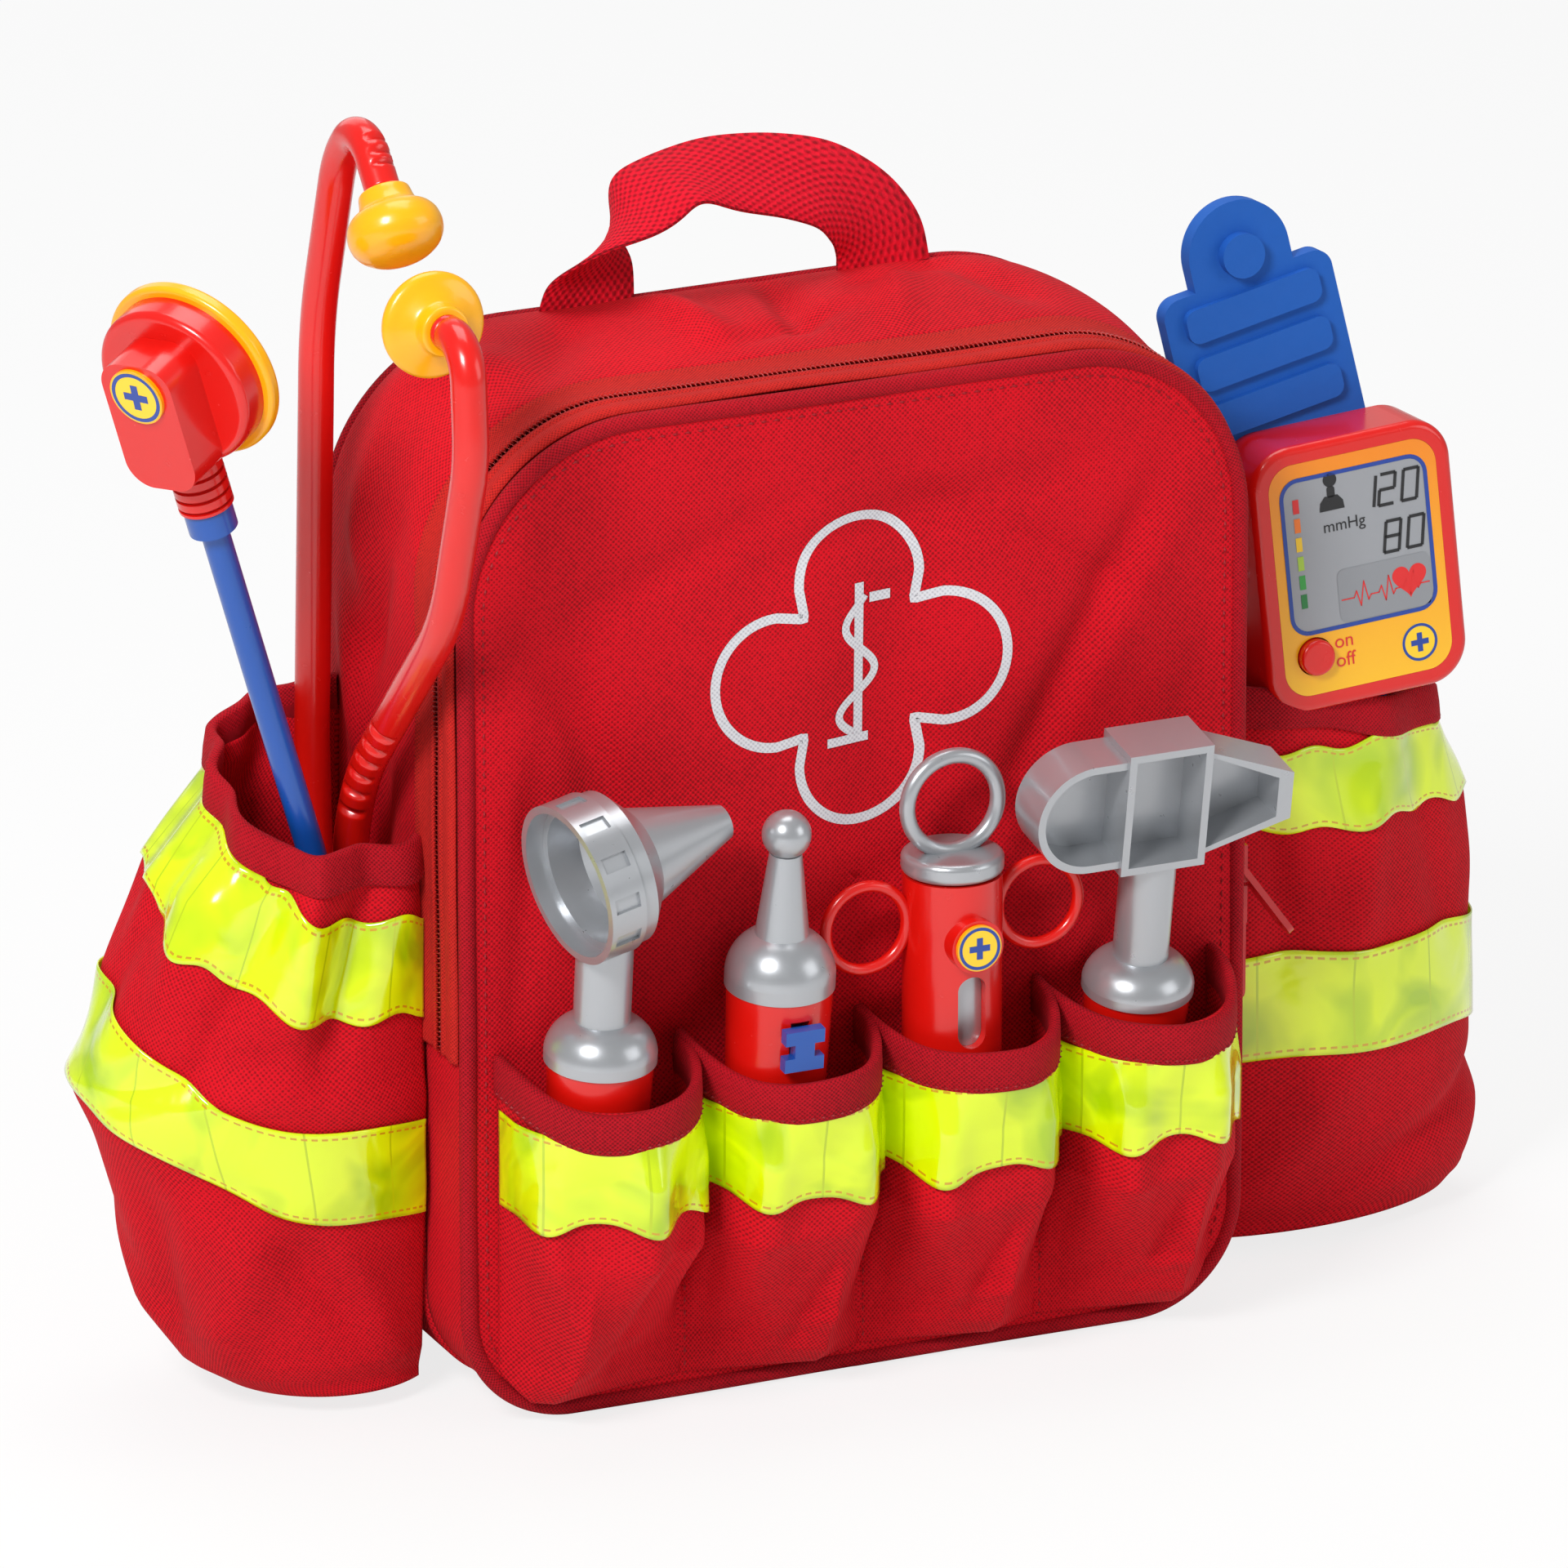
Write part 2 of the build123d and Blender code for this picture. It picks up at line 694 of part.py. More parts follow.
with BuildPart() as otoscope_cone:
    with BuildSketch(drum_profile):
        with BuildLine():
            cone_end = drum_back + otoscope_cone_length
            Polyline(
                (otoscope_cone_base - shell_wall, drum_back), (otoscope_cone_base, drum_back),
                (otoscope_cone_tip, cone_end), (otoscope_cone_tip - shell_wall / 2, cone_end), close=True,
            )
        make_face()
    revolve(axis=Axis(drum_centre, drum_way))
finish(otoscope_cone, "otoscope_cone")

# Ball probe: grip with a slot, domed nozzle with a ball, and its sliding switch
switch_reach = grip_radius + running_clearance
with BuildPart() as probe_grip:
    add(grip(probe_base, probe_grip_length))
    slot_length = probe_switch_length - 2 * shell_wall + 2 * probe_switch_travel + 2 * running_clearance
    with BuildSketch(upright(probe_base, grip_radius - probe_slot_depth)):
        with Locations((0, probe_switch_height)):
            Rectangle(probe_stem_width + 2 * running_clearance, slot_length)
    extrude(amount=2 * probe_slot_depth, mode=Mode.SUBTRACT)
finish(probe_grip, "probe_grip")

nozzle_foot = probe_grip_length + probe_dome_height
nozzle_top = nozzle_foot + probe_nozzle_length
with BuildPart() as probe_nozzle:
    add(
        domed_neck(
            probe_base, probe_grip_length, probe_dome_radius, probe_dome_height,
            probe_nozzle_base, nozzle_top, probe_nozzle_tip,
        )
    )
    with Locations(probe_base.offset(nozzle_top + probe_ball_stand)):
        Sphere(probe_ball_radius)
finish(probe_nozzle, "probe_nozzle")

with BuildPart() as probe_switch:
    stem_length = probe_switch_length - 2 * shell_wall
    with BuildSketch(upright(probe_base, grip_radius - probe_slot_depth + running_clearance)):
        with Locations((0, probe_switch_height)):
            Rectangle(probe_stem_width, stem_length)
    extrude(amount=probe_slot_depth)
    with BuildSketch(upright(probe_base, switch_reach)):
        with Locations((0, probe_switch_height)):
            Rectangle(probe_switch_width, probe_switch_length)
            with GridLocations(probe_switch_width, 0, 2, 1):
                Rectangle(probe_switch_width / 2, probe_switch_length / 3, mode=Mode.SUBTRACT)
    extrude(amount=probe_switch_thickness)
finish(probe_switch, "probe_switch")

# Syringe: barrel with two finger rings and a window, plunger and round badge
with BuildPart() as syringe_barrel:
    with BuildSketch(upright(syringe_base)):
        with BuildLine():
            Polyline(
                (0, 0), (syringe_hub_radius, 0), (syringe_hub_radius, syringe_hub_length),
                (syringe_radius, syringe_hub_length + shell_wall), (syringe_radius, syringe_length),
                (0, syringe_length), close=True,
            )
        make_face()
    revolve(axis=axis_of(syringe_base))
    for side in (-1, 1):
        ring_plane = upright(syringe_base)
        ring_plane.origin += syringe_base.x_dir * side * syringe_ring_offset
        ring_plane.origin += syringe_base.z_dir * syringe_ring_height
        with Locations(ring_plane):
            Torus(syringe_ring_radius, syringe_ring_wire)
    with BuildSketch(upright(syringe_base)):
        with Locations((0, syringe_boss_height)):
            Circle(syringe_boss_radius)
    extrude(amount=syringe_radius + syringe_boss_stand)
    with BuildSketch(syringe_base.offset(syringe_length)):
        Circle(syringe_bore)
    extrude(amount=-(syringe_length - syringe_hub_length), mode=Mode.SUBTRACT)
    with BuildSketch(upright(syringe_base)):
        with Locations((0, (syringe_window_foot + syringe_window_top) / 2)):
            SlotCenterToCenter(
                syringe_window_top - syringe_window_foot - syringe_window_width,
                syringe_window_width, rotation=90,
            )
    extrude(amount=2 * syringe_radius, mode=Mode.SUBTRACT)
finish(syringe_barrel, "syringe_barrel")

flange_foot = syringe_length + running_clearance
with BuildPart() as syringe_plunger:
    with BuildSketch(syringe_base.offset(flange_foot)):
        Circle(plunger_flange_radius)
    extrude(amount=plunger_flange_thickness)
    fillet(syringe_plunger.edges().filter_by(GeomType.CIRCLE), plunger_flange_thickness / 3)
    with BuildSketch(syringe_base.offset(syringe_window_foot)):
        Circle(plunger_rod_radius)
    extrude(amount=flange_foot - syringe_window_foot + shell_wall)
    with BuildSketch(syringe_base.offset(syringe_window_foot)):
        Circle(syringe_bore - bore_clearance)
    extrude(amount=piston_length)
    ring_plane = upright(syringe_base)
    ring_plane.origin += syringe_base.z_dir * (flange_foot + plunger_flange_thickness + plunger_ring_radius)
    with Locations(ring_plane):
        Torus(plunger_ring_radius, plunger_ring_wire)
finish(syringe_plunger, "syringe_plunger")

with BuildPart() as syringe_badge:
    with BuildSketch(upright(syringe_base, syringe_radius + syringe_boss_stand)):
        with Locations((0, syringe_boss_height)):
            Circle(syringe_badge_radius)
    extrude(amount=syringe_badge_thickness)
finish(syringe_badge, "syringe_badge")

# Reflex hammer: grip, domed neck and a hollow head that is open to the front
with BuildPart() as hammer_grip:
    add(grip(hammer_base, hammer_grip_length))
finish(hammer_grip, "hammer_grip")

collar_foot = hammer_head_height - hammer_collar_height / 2
with BuildPart() as hammer_neck:
    add(
        domed_neck(
            hammer_base, hammer_grip_length, otoscope_dome_radius, hammer_dome_height,
            hammer_neck_radius, collar_foot, hammer_neck_radius,
        )
    )
finish(hammer_neck, "hammer_neck")


def hammer_outline(plane, inset):
    """Head outline: a round end on the left and a blunt wedge on the right."""
    half_height = hammer_end_height / 2 - inset
    inner = hammer_collar_width / 2 - shell_wall + inset
    round_centre = -(hammer_reach - hammer_end_height / 2)
    nose = hammer_reach - inset
    nose_half = hammer_nose_height / 2 - inset / 2
    nose_middle = hammer_head_height - hammer_nose_drop
    with BuildSketch(plane) as drawing:
        with BuildLine():
            Line((-inner, hammer_head_height + half_height), (round_centre, hammer_head_height + half_height))
            ThreePointArc(
                (round_centre, hammer_head_height + half_height),
                (round_centre - half_height, hammer_head_height),
                (round_centre, hammer_head_height - half_height),
            )
            Line((round_centre, hammer_head_height - half_height), (-inner, hammer_head_height - half_height))
            Line((-inner, hammer_head_height - half_height), (-inner, hammer_head_height + half_height))
        make_face()
        with BuildLine():
            Polyline(
                (inner, hammer_head_height + half_height), (nose - inset, nose_middle + nose_half),
                (nose - inset, nose_middle - nose_half), (inner, hammer_head_height - half_height), close=True,
            )
        make_face()
    return drawing.sketch


head_back = -hammer_head_depth / 2
with BuildPart() as hammer_head:
    shell_back = upright(hammer_base, head_back + shell_wall / 2)
    extrude(hammer_outline(shell_back, 0), amount=hammer_head_depth - shell_wall)
    with BuildSketch(upright(hammer_base, head_back)):
        with Locations((0, hammer_head_height)):
            Rectangle(hammer_collar_width, hammer_collar_height)
    extrude(amount=hammer_head_depth)
    cell_floor = upright(hammer_base, head_back + 2 * shell_wall)
    extrude(hammer_outline(cell_floor, shell_wall), amount=hammer_head_depth, mode=Mode.SUBTRACT)
    with BuildSketch(cell_floor):
        with Locations((0, hammer_head_height)):
            Rectangle(hammer_collar_width - 2 * shell_wall, hammer_collar_height - 2 * shell_wall)
    extrude(amount=hammer_head_depth, mode=Mode.SUBTRACT)
finish(hammer_head, "hammer_head")

# Zip sliders and their pulls, on the right side of the bag
slider_face = half_width + running_clearance
slider_top = slider_face + slider_thickness
pull_axis_x = slider_top + running_clearance + pull_thickness / 2
bridge_under = pull_axis_x + pull_thickness / 2 + running_clearance
zip_pulls = (
    ("lower", zip_end_height + slider_length / 2 + cloth / 2, lower_pull_angle),
    ("upper", zip_end_height + slider_length / 2 + cloth / 2 + slider_spacing, upper_pull_angle),
)
for name, height, angle in zip_pulls:
    with BuildPart() as slider:
        with BuildSketch(Plane.YZ.offset(slider_face)):
            with BuildLine():
                Polyline(
                    (coil_y - slider_width / 3, height - slider_length / 2),
                    (coil_y + slider_width / 3, height - slider_length / 2),
                    (coil_y + slider_width / 2, height + slider_length / 2),
                    (coil_y - slider_width / 2, height + slider_length / 2), close=True,
                )
            make_face()
        extrude(amount=slider_thickness)
        fillet(slider.edges().filter_by(Axis.X), slider_width / 8)
        with BuildSketch(Plane.XZ.offset(-coil_y - bridge_width / 2)):
            with Locations(((slider_top + bridge_under + bridge_bar) / 2 - bridge_bar / 2, height)):
                Rectangle(bridge_under - slider_top + 2 * bridge_bar, slider_length)
            with Locations(((slider_top + bridge_under) / 2, height)):
                Rectangle(bridge_under - slider_top, slider_length - 2 * bridge_bar, mode=Mode.SUBTRACT)
        extrude(amount=bridge_width)
    finish(slider, f"zip_slider_{name}")

    swing = math.radians(angle)
    pull_plane = Plane(
        origin=(pull_axis_x, coil_y, height), x_dir=(0, 1, 0), z_dir=(math.cos(swing), 0, math.sin(swing))
    )
    with BuildPart() as pull:
        with BuildSketch(pull_plane.offset(-pull_thickness / 2)):
            with Locations((0, -pull_length / 2)):
                Rectangle(pull_width, pull_length)
            fillet(vertices().group_by(Axis.Y)[0], pull_end_round)
            with Locations((0, -pull_window_length / 2)):
                Rectangle(pull_window_width, pull_window_length, mode=Mode.SUBTRACT)
            with Locations((0, pull_width / 2 - pull_length)):
                Circle(pull_hole_radius, mode=Mode.SUBTRACT)
        extrude(amount=pull_thickness)
        with BuildSketch(Plane(origin=pull_plane.origin, x_dir=pull_plane.z_dir, z_dir=(0, 1, 0))):
            Circle(pull_thickness / 2)
        extrude(amount=pull_width / 2, both=True)
    finish(pull, f"zip_pull_{name}")

# Stethoscope yoke: a floor, two cheeks and two pins that carry the arms
pin_places = (front_arm_points[0][0], back_arm_points[0][0])
yoke_middle = (yoke_front + yoke_back) / 2
with BuildPart() as stethoscope_yoke:
    with Locations((lyre_x, yoke_middle, (yoke_foot + yoke_top) / 2)):
        Box(yoke_width, yoke_back - yoke_front, yoke_top - yoke_foot)
    fillet(stethoscope_yoke.edges().filter_by(Axis.Z), yoke_cheek)
    with Locations((lyre_x, yoke_middle, (yoke_floor + yoke_top) / 2)):
        Box(yoke_width - 2 * yoke_cheek, yoke_back - yoke_front, yoke_top - yoke_floor, mode=Mode.SUBTRACT)
    for pin_y in pin_places:
        with BuildSketch(Plane.YZ.offset(lyre_x)):
            with Locations((pin_y, arm_pin_height)):
                Circle(arm_pin_radius)
        extrude(amount=yoke_width / 2 - yoke_cheek / 2, both=True)
finish(stethoscope_yoke, "stethoscope_yoke")

# Bowed arms with a pin hole at the root, and round ear tips at their ends
arms = (
    ("front", front_arm_points, front_arm_bends),
    ("back", back_arm_points, back_arm_bends),
)
for name, points, bends in arms:
    lyre_plane = Plane.YZ.offset(lyre_x)
    with BuildPart() as arm:
        with BuildLine(lyre_plane):
            arm_line = FilletPolyline(*points, radius=bends)
        with BuildSketch(Plane(origin=arm_line @ 0, x_dir=(1, 0, 0), z_dir=arm_line % 0)):
            Circle(arm_radius)
        sweep(path=arm_line)
        with BuildSketch(lyre_plane):
            with Locations((points[0][0], arm_pin_height)):
                Circle(arm_pin_radius + bore_clearance)
        extrude(amount=2 * arm_radius, both=True, mode=Mode.SUBTRACT)
    finish(arm, f"stethoscope_arm_{name}")

    tip = Plane(origin=arm_line @ 1, x_dir=(1, 0, 0), z_dir=arm_line % 1)
    with BuildPart() as ear_tip:
        with BuildSketch(tip.offset(seam_gap)):
            Circle(ear_neck_radius)
        extrude(amount=ear_neck_length)
        with Locations(tip.offset(ear_neck_length + ear_ball_stand)):
            Sphere(ear_ball_radius)
    finish(ear_tip, f"ear_tip_{name}")

# Moulded tube that rises out of the pocket and carries the chest piece
with BuildPart() as stethoscope_tube:
    with BuildLine():
        tube_line = FilletPolyline(*tube_points, radius=tube_bends)
    with BuildSketch(Plane(origin=tube_line @ 0, z_dir=tube_line % 0)):
        Circle(tube_radius)
    sweep(path=tube_line)
    with BuildSketch(Plane(origin=tube_line @ 0, z_dir=tube_line % 0)):
        Circle(collar_radius)
    extrude(amount=-collar_length)
    fillet(stethoscope_tube.edges().filter_by(GeomType.CIRCLE).sort_by(Axis.Z)[-1], tube_radius / 4)
finish(stethoscope_tube, "stethoscope_tube")

tube_way = (tube_line % 0) * -1
neck_foot = Vector(*tube_points[0]) + tube_way * collar_length
chest_up = tube_way
facing = Vector(*chest_facing)
chest_front = (facing - chest_up * facing.dot(chest_up)).normalized()
chest_centre = neck_foot + chest_up * (chest_neck_length + chest_disc_radius)
chest_plane = Plane(origin=chest_centre, x_dir=chest_up.cross(chest_front), z_dir=chest_front)
neck_plane = Plane(origin=neck_foot, x_dir=chest_plane.x_dir, z_dir=chest_up)
with BuildPart() as chest_piece:
    with BuildSketch(chest_plane.offset(chest_disc_back)):
        Circle(chest_disc_radius)
    extrude(amount=chest_disc_front - chest_disc_back)
    fillet(chest_piece.edges().group_by(Axis(chest_centre, chest_front))[-1], shell_wall)
    with BuildSketch(chest_plane.offset(chest_disc_back)):
        with Locations((0, (chest_head_height - 2 * chest_disc_radius) / 2)):
            RectangleRounded(chest_head_width, chest_head_height, chest_head_width / 3)
    extrude(amount=chest_head_front - chest_disc_back)
    with BuildSketch(neck_plane):
        Circle(chest_neck_radius)
    extrude(amount=chest_neck_length + 2 * shell_wall)
    rib_pitch = chest_neck_length / chest_neck_ribs
    for rib in range(chest_neck_ribs):
        groove_height = (rib + 0.5) * rib_pitch - rib_pitch / 4
        with BuildSketch(neck_plane.offset(groove_height)):
            Circle(chest_neck_radius + shell_wall)
            Circle(chest_neck_radius - shell_wall / 2, mode=Mode.SUBTRACT)
        extrude(amount=rib_pitch / 3, mode=Mode.SUBTRACT)
finish(chest_piece, "chest_piece")

with BuildPart() as chest_rim:
    with BuildSketch(chest_plane.offset(chest_disc_back - chest_rim_thickness)):
        Circle(chest_rim_radius)
    extrude(amount=chest_rim_thickness)
    fillet(chest_rim.edges(), chest_rim_thickness / 3)
finish(chest_rim, "chest_rim")

with BuildPart() as chest_badge:
    with BuildSketch(chest_plane.offset(chest_head_front)):
        with Locations((0, chest_badge_rise)):
            Circle(chest_badge_radius)
    extrude(amount=badge_thickness)
finish(chest_badge, "chest_badge")

# Blood pressure monitor: case, face, screen and button on a soft cuff
lean_side = math.radians(monitor_lean)
tilt_back = math.radians(monitor_tilt)
monitor_up = Vector(
    -math.sin(lean_side), math.sin(tilt_back) * math.cos(lean_side), math.cos(tilt_back) * math.cos(lean_side)
)
monitor_right = Vector(math.cos(lean_side), 0, math.sin(lean_side) / math.cos(tilt_back))
monitor_back = Plane(origin=monitor_origin, x_dir=monitor_right, z_dir=monitor_right.cross(monitor_up))
with BuildPart() as monitor_case:
    with BuildSketch(monitor_back):
        with Locations((0, case_height / 2)):
            RectangleRounded(case_width, case_height, case_corner)
    extrude(amount=case_depth)
    fillet(monitor_case.faces().sort_by(Axis(monitor_back.origin, monitor_back.z_dir))[-1].edges(), shell_wall)
    with BuildSketch(monitor_back.offset(case_depth - face_thickness)):
        with Locations((0, case_height / 2)):
            RectangleRounded(
                case_width - 2 * face_margin + seam_gap, case_height - 2 * face_margin + seam_gap, face_corner
            )
    extrude(amount=2 * face_thickness, mode=Mode.SUBTRACT)
    button_place = (button_side - case_width / 2 + face_margin / 2, face_margin + button_rise)
    with BuildSketch(monitor_back.offset(case_depth - face_thickness - 2 * shell_wall)):
        with Locations(button_place):
            Circle(button_radius + running_clearance)
    extrude(amount=case_depth, mode=Mode.SUBTRACT)
finish(monitor_case, "monitor_case")

screen_middle = (0, case_height - face_margin - screen_drop - screen_height / 2)
with BuildPart() as monitor_face:
    with BuildSketch(monitor_back.offset(case_depth - face_thickness)):
        with Locations((0, case_height / 2)):
            RectangleRounded(case_width - 2 * face_margin, case_height - 2 * face_margin, face_corner)
        with Locations(screen_middle):
            RectangleRounded(
                screen_width + seam_gap, screen_height + seam_gap, screen_corner, mode=Mode.SUBTRACT
            )
        with Locations(button_place):
            Circle(button_radius + running_clearance, mode=Mode.SUBTRACT)
    extrude(amount=face_thickness)
finish(monitor_face, "monitor_face")

with BuildPart() as monitor_screen:
    with BuildSketch(monitor_back.offset(case_depth - face_thickness)):
        with Locations(screen_middle):
            RectangleRounded(screen_width, screen_height, screen_corner)
    extrude(amount=face_thickness)
finish(monitor_screen, "monitor_screen")

with BuildPart() as monitor_button:
    with BuildSketch(monitor_back.offset(case_depth - shell_wall)):
        with Locations(button_place):
            Circle(button_radius)
    extrude(amount=shell_wall + button_stand)
    fillet(monitor_button.faces().sort_by(Axis(monitor_back.origin, monitor_back.z_dir))[-1].edges(), shell_wall / 2)
finish(monitor_button, "monitor_button")

# Cuff: a leaning tab with a domed end, ribs and a stud, and a tail down into the pocket
cuff_back = monitor_back.offset(-cuff_thickness)
with BuildPart() as cuff:
    with BuildSketch(cuff_back):
        with Locations(Location((0, 0, 0), (0, 0, cuff_lean))):
            with Locations((0, cuff_shoulder / 2)):
                RectangleRounded(cuff_width, cuff_shoulder, cuff_tab_side)
            with Locations((0, cuff_top - cuff_tab_radius)):
                Circle(cuff_tab_radius)
            with Locations((0, (cuff_shoulder + cuff_top - cuff_tab_radius) / 2 - cuff_tab_side)):
                Rectangle(2 * cuff_tab_radius, cuff_top - cuff_tab_radius - cuff_shoulder + 2 * cuff_tab_side)
        with Locations((0, cuff_tab_side - cuff_tail_length / 2)):
            Rectangle(cuff_tail_width, cuff_tail_length + 2 * cuff_tab_side)
    extrude(amount=cuff_thickness)
    with BuildSketch(monitor_back):
        with Locations(Location((0, 0, 0), (0, 0, cuff_lean))):
            with Locations((0, cuff_top - cuff_tab_radius)):
                Circle(cuff_stud_radius)
    extrude(amount=cuff_stud_height)
    with BuildSketch(monitor_back):
        with Locations(Location((0, 0, 0), (0, 0, cuff_lean))):
            for rib in range(cuff_rib_count):
                with Locations((0, cuff_shoulder - cuff_rib_drop - rib * cuff_rib_pitch)):
                    RectangleRounded(cuff_width - 2 * cuff_tab_side, cuff_rib_height, cuff_rib_height / 3)
    extrude(amount=cuff_rib_stand)
finish(cuff, "cuff")
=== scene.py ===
import bpy
import json
import math
import numpy as np
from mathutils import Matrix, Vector


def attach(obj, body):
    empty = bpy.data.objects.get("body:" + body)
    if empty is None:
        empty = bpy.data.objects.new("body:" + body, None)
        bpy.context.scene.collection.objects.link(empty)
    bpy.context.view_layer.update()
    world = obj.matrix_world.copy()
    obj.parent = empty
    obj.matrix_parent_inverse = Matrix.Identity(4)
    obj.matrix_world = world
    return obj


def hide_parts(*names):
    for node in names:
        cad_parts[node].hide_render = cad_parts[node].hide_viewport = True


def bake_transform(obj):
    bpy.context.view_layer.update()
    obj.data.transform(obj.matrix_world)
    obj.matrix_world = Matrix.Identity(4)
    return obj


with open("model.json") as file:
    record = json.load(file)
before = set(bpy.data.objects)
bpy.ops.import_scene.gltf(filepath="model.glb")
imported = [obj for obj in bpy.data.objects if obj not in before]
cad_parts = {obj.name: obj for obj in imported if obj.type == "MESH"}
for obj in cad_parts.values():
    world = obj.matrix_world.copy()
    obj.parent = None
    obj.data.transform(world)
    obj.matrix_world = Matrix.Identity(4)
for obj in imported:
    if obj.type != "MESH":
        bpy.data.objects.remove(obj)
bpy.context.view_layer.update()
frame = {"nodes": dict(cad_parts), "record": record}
nodes = frame["nodes"]

# MOULDED PARTS
# The toy instruments, the zip sliders and the ladder locks are injection moulded or cast. They
# keep the solids of the CAD, and each one gets the finish of its material slot here.


def colour(text):
    """Linear colour with alpha from an sRGB hex text."""
    parts = [int(text[i:i + 2], 16) / 255 for i in (1, 3, 5)]
    return [p / 12.92 if p <= 0.04045 else ((p + 0.055) / 1.055) ** 2.4 for p in parts] + [1.0]


def add_node(material, kind, settings=None, links=None):
    """Adds a shader node; settings go to its sockets or properties, links to its sockets."""
    node = material.node_tree.nodes.new(kind)
    for key, value in (settings or {}).items():
        if isinstance(key, int) or key in node.inputs:
            node.inputs[key].default_value = value
        else:
            setattr(node, key, value)
    for key, source in (links or {}).items():
        material.node_tree.links.new(source, node.inputs[key])
    return node


def new_material(name):
    """Empty node material with its output node."""
    material = bpy.data.materials.new(name)
    material.use_nodes = True
    material.node_tree.nodes.clear()
    return material, material.node_tree.nodes.new("ShaderNodeOutputMaterial")


def plastic(name, tone, roughness=0.25, metallic=0.0, coat=0.4, grain=0.05):
    """Moulded skin: one colour, whose gloss and relief vary a little in waves of about 4 mm."""
    material, output = new_material(name)
    place = add_node(material, "ShaderNodeTexCoord")
    noise = add_node(
        material, "ShaderNodeTexNoise", {"Scale": 260.0, "Detail": 3.0},
        {"Vector": place.outputs["Object"]},
    )
    bump = add_node(
        material, "ShaderNodeBump", {"Strength": grain, "Distance": 0.0002},
        {"Height": noise.outputs[0]},
    )
    spread = add_node(
        material, "ShaderNodeMath",
        {"operation": "MULTIPLY_ADD", 1: 0.12, 2: roughness - 0.06}, {0: noise.outputs[0]},
    )
    surface = add_node(
        material, "ShaderNodeBsdfPrincipled",
        {"Base Color": colour(tone), "Metallic": metallic, "Coat Weight": coat,
         "Coat Roughness": 0.12},
        {"Normal": bump.outputs[0], "Roughness": spread.outputs[0]},
    )
    material.node_tree.links.new(surface.outputs[0], output.inputs[0])
    return material


# ABS, injection moulded in a polished tool: an even, strong colour under a clear shine.
red_plastic = plastic("red_abs", "#DE140C")
yellow_plastic = plastic("yellow_abs", "#FFB400", roughness=0.3)
blue_plastic = plastic("blue_abs", "#0A50AA", roughness=0.3)
# ABS in silver lacquer: the flakes in it give a satin, half metallic look.
silver_plastic = plastic("silver_lacquer", "#B4B7BB", roughness=0.3, metallic=0.6, coat=0.3)
# EVA foam, pressed to shape: matt, with small cells that break up the light.
blue_foam = plastic("blue_eva_foam", "#0A5AB6", roughness=0.75, coat=0.0, grain=0.8)
# Acetal, moulded in one piece: the dull black of a strap fitting.
black_plastic = plastic("black_acetal", "#1A1A1A", roughness=0.5)
# Zinc, cast and enamelled red: a hard gloss with a little metal in it.
red_metal = plastic("red_enamel", "#C41218", roughness=0.3, metallic=0.2)

finishes = {
    "red_plastic": red_plastic, "yellow_plastic": yellow_plastic, "blue_plastic": blue_plastic,
    "silver_plastic": silver_plastic, "blue_foam": blue_foam, "black_plastic": black_plastic,
    "red_metal": red_metal, "printed_label": yellow_plastic, "screen_print": silver_plastic,
}
sharp_edge = math.radians(32)
for entry in frame["record"]["subparts"]:
    if entry["material_slot"] in finishes:
        node = nodes[entry["node"]]
        node.data.materials.clear()
        node.data.materials.append(finishes[entry["material_slot"]])
        node.data.polygons.foreach_set("use_smooth", [True] * len(node.data.polygons))
        node.data.set_sharp_from_angle(angle=sharp_edge)

# FRONT PANEL
# Cloth panel of the flap, cut to the bag's outline and drawn tight to the piping, crowned and a
# little creased. It is a grid of outline loops that shrink to the middle.


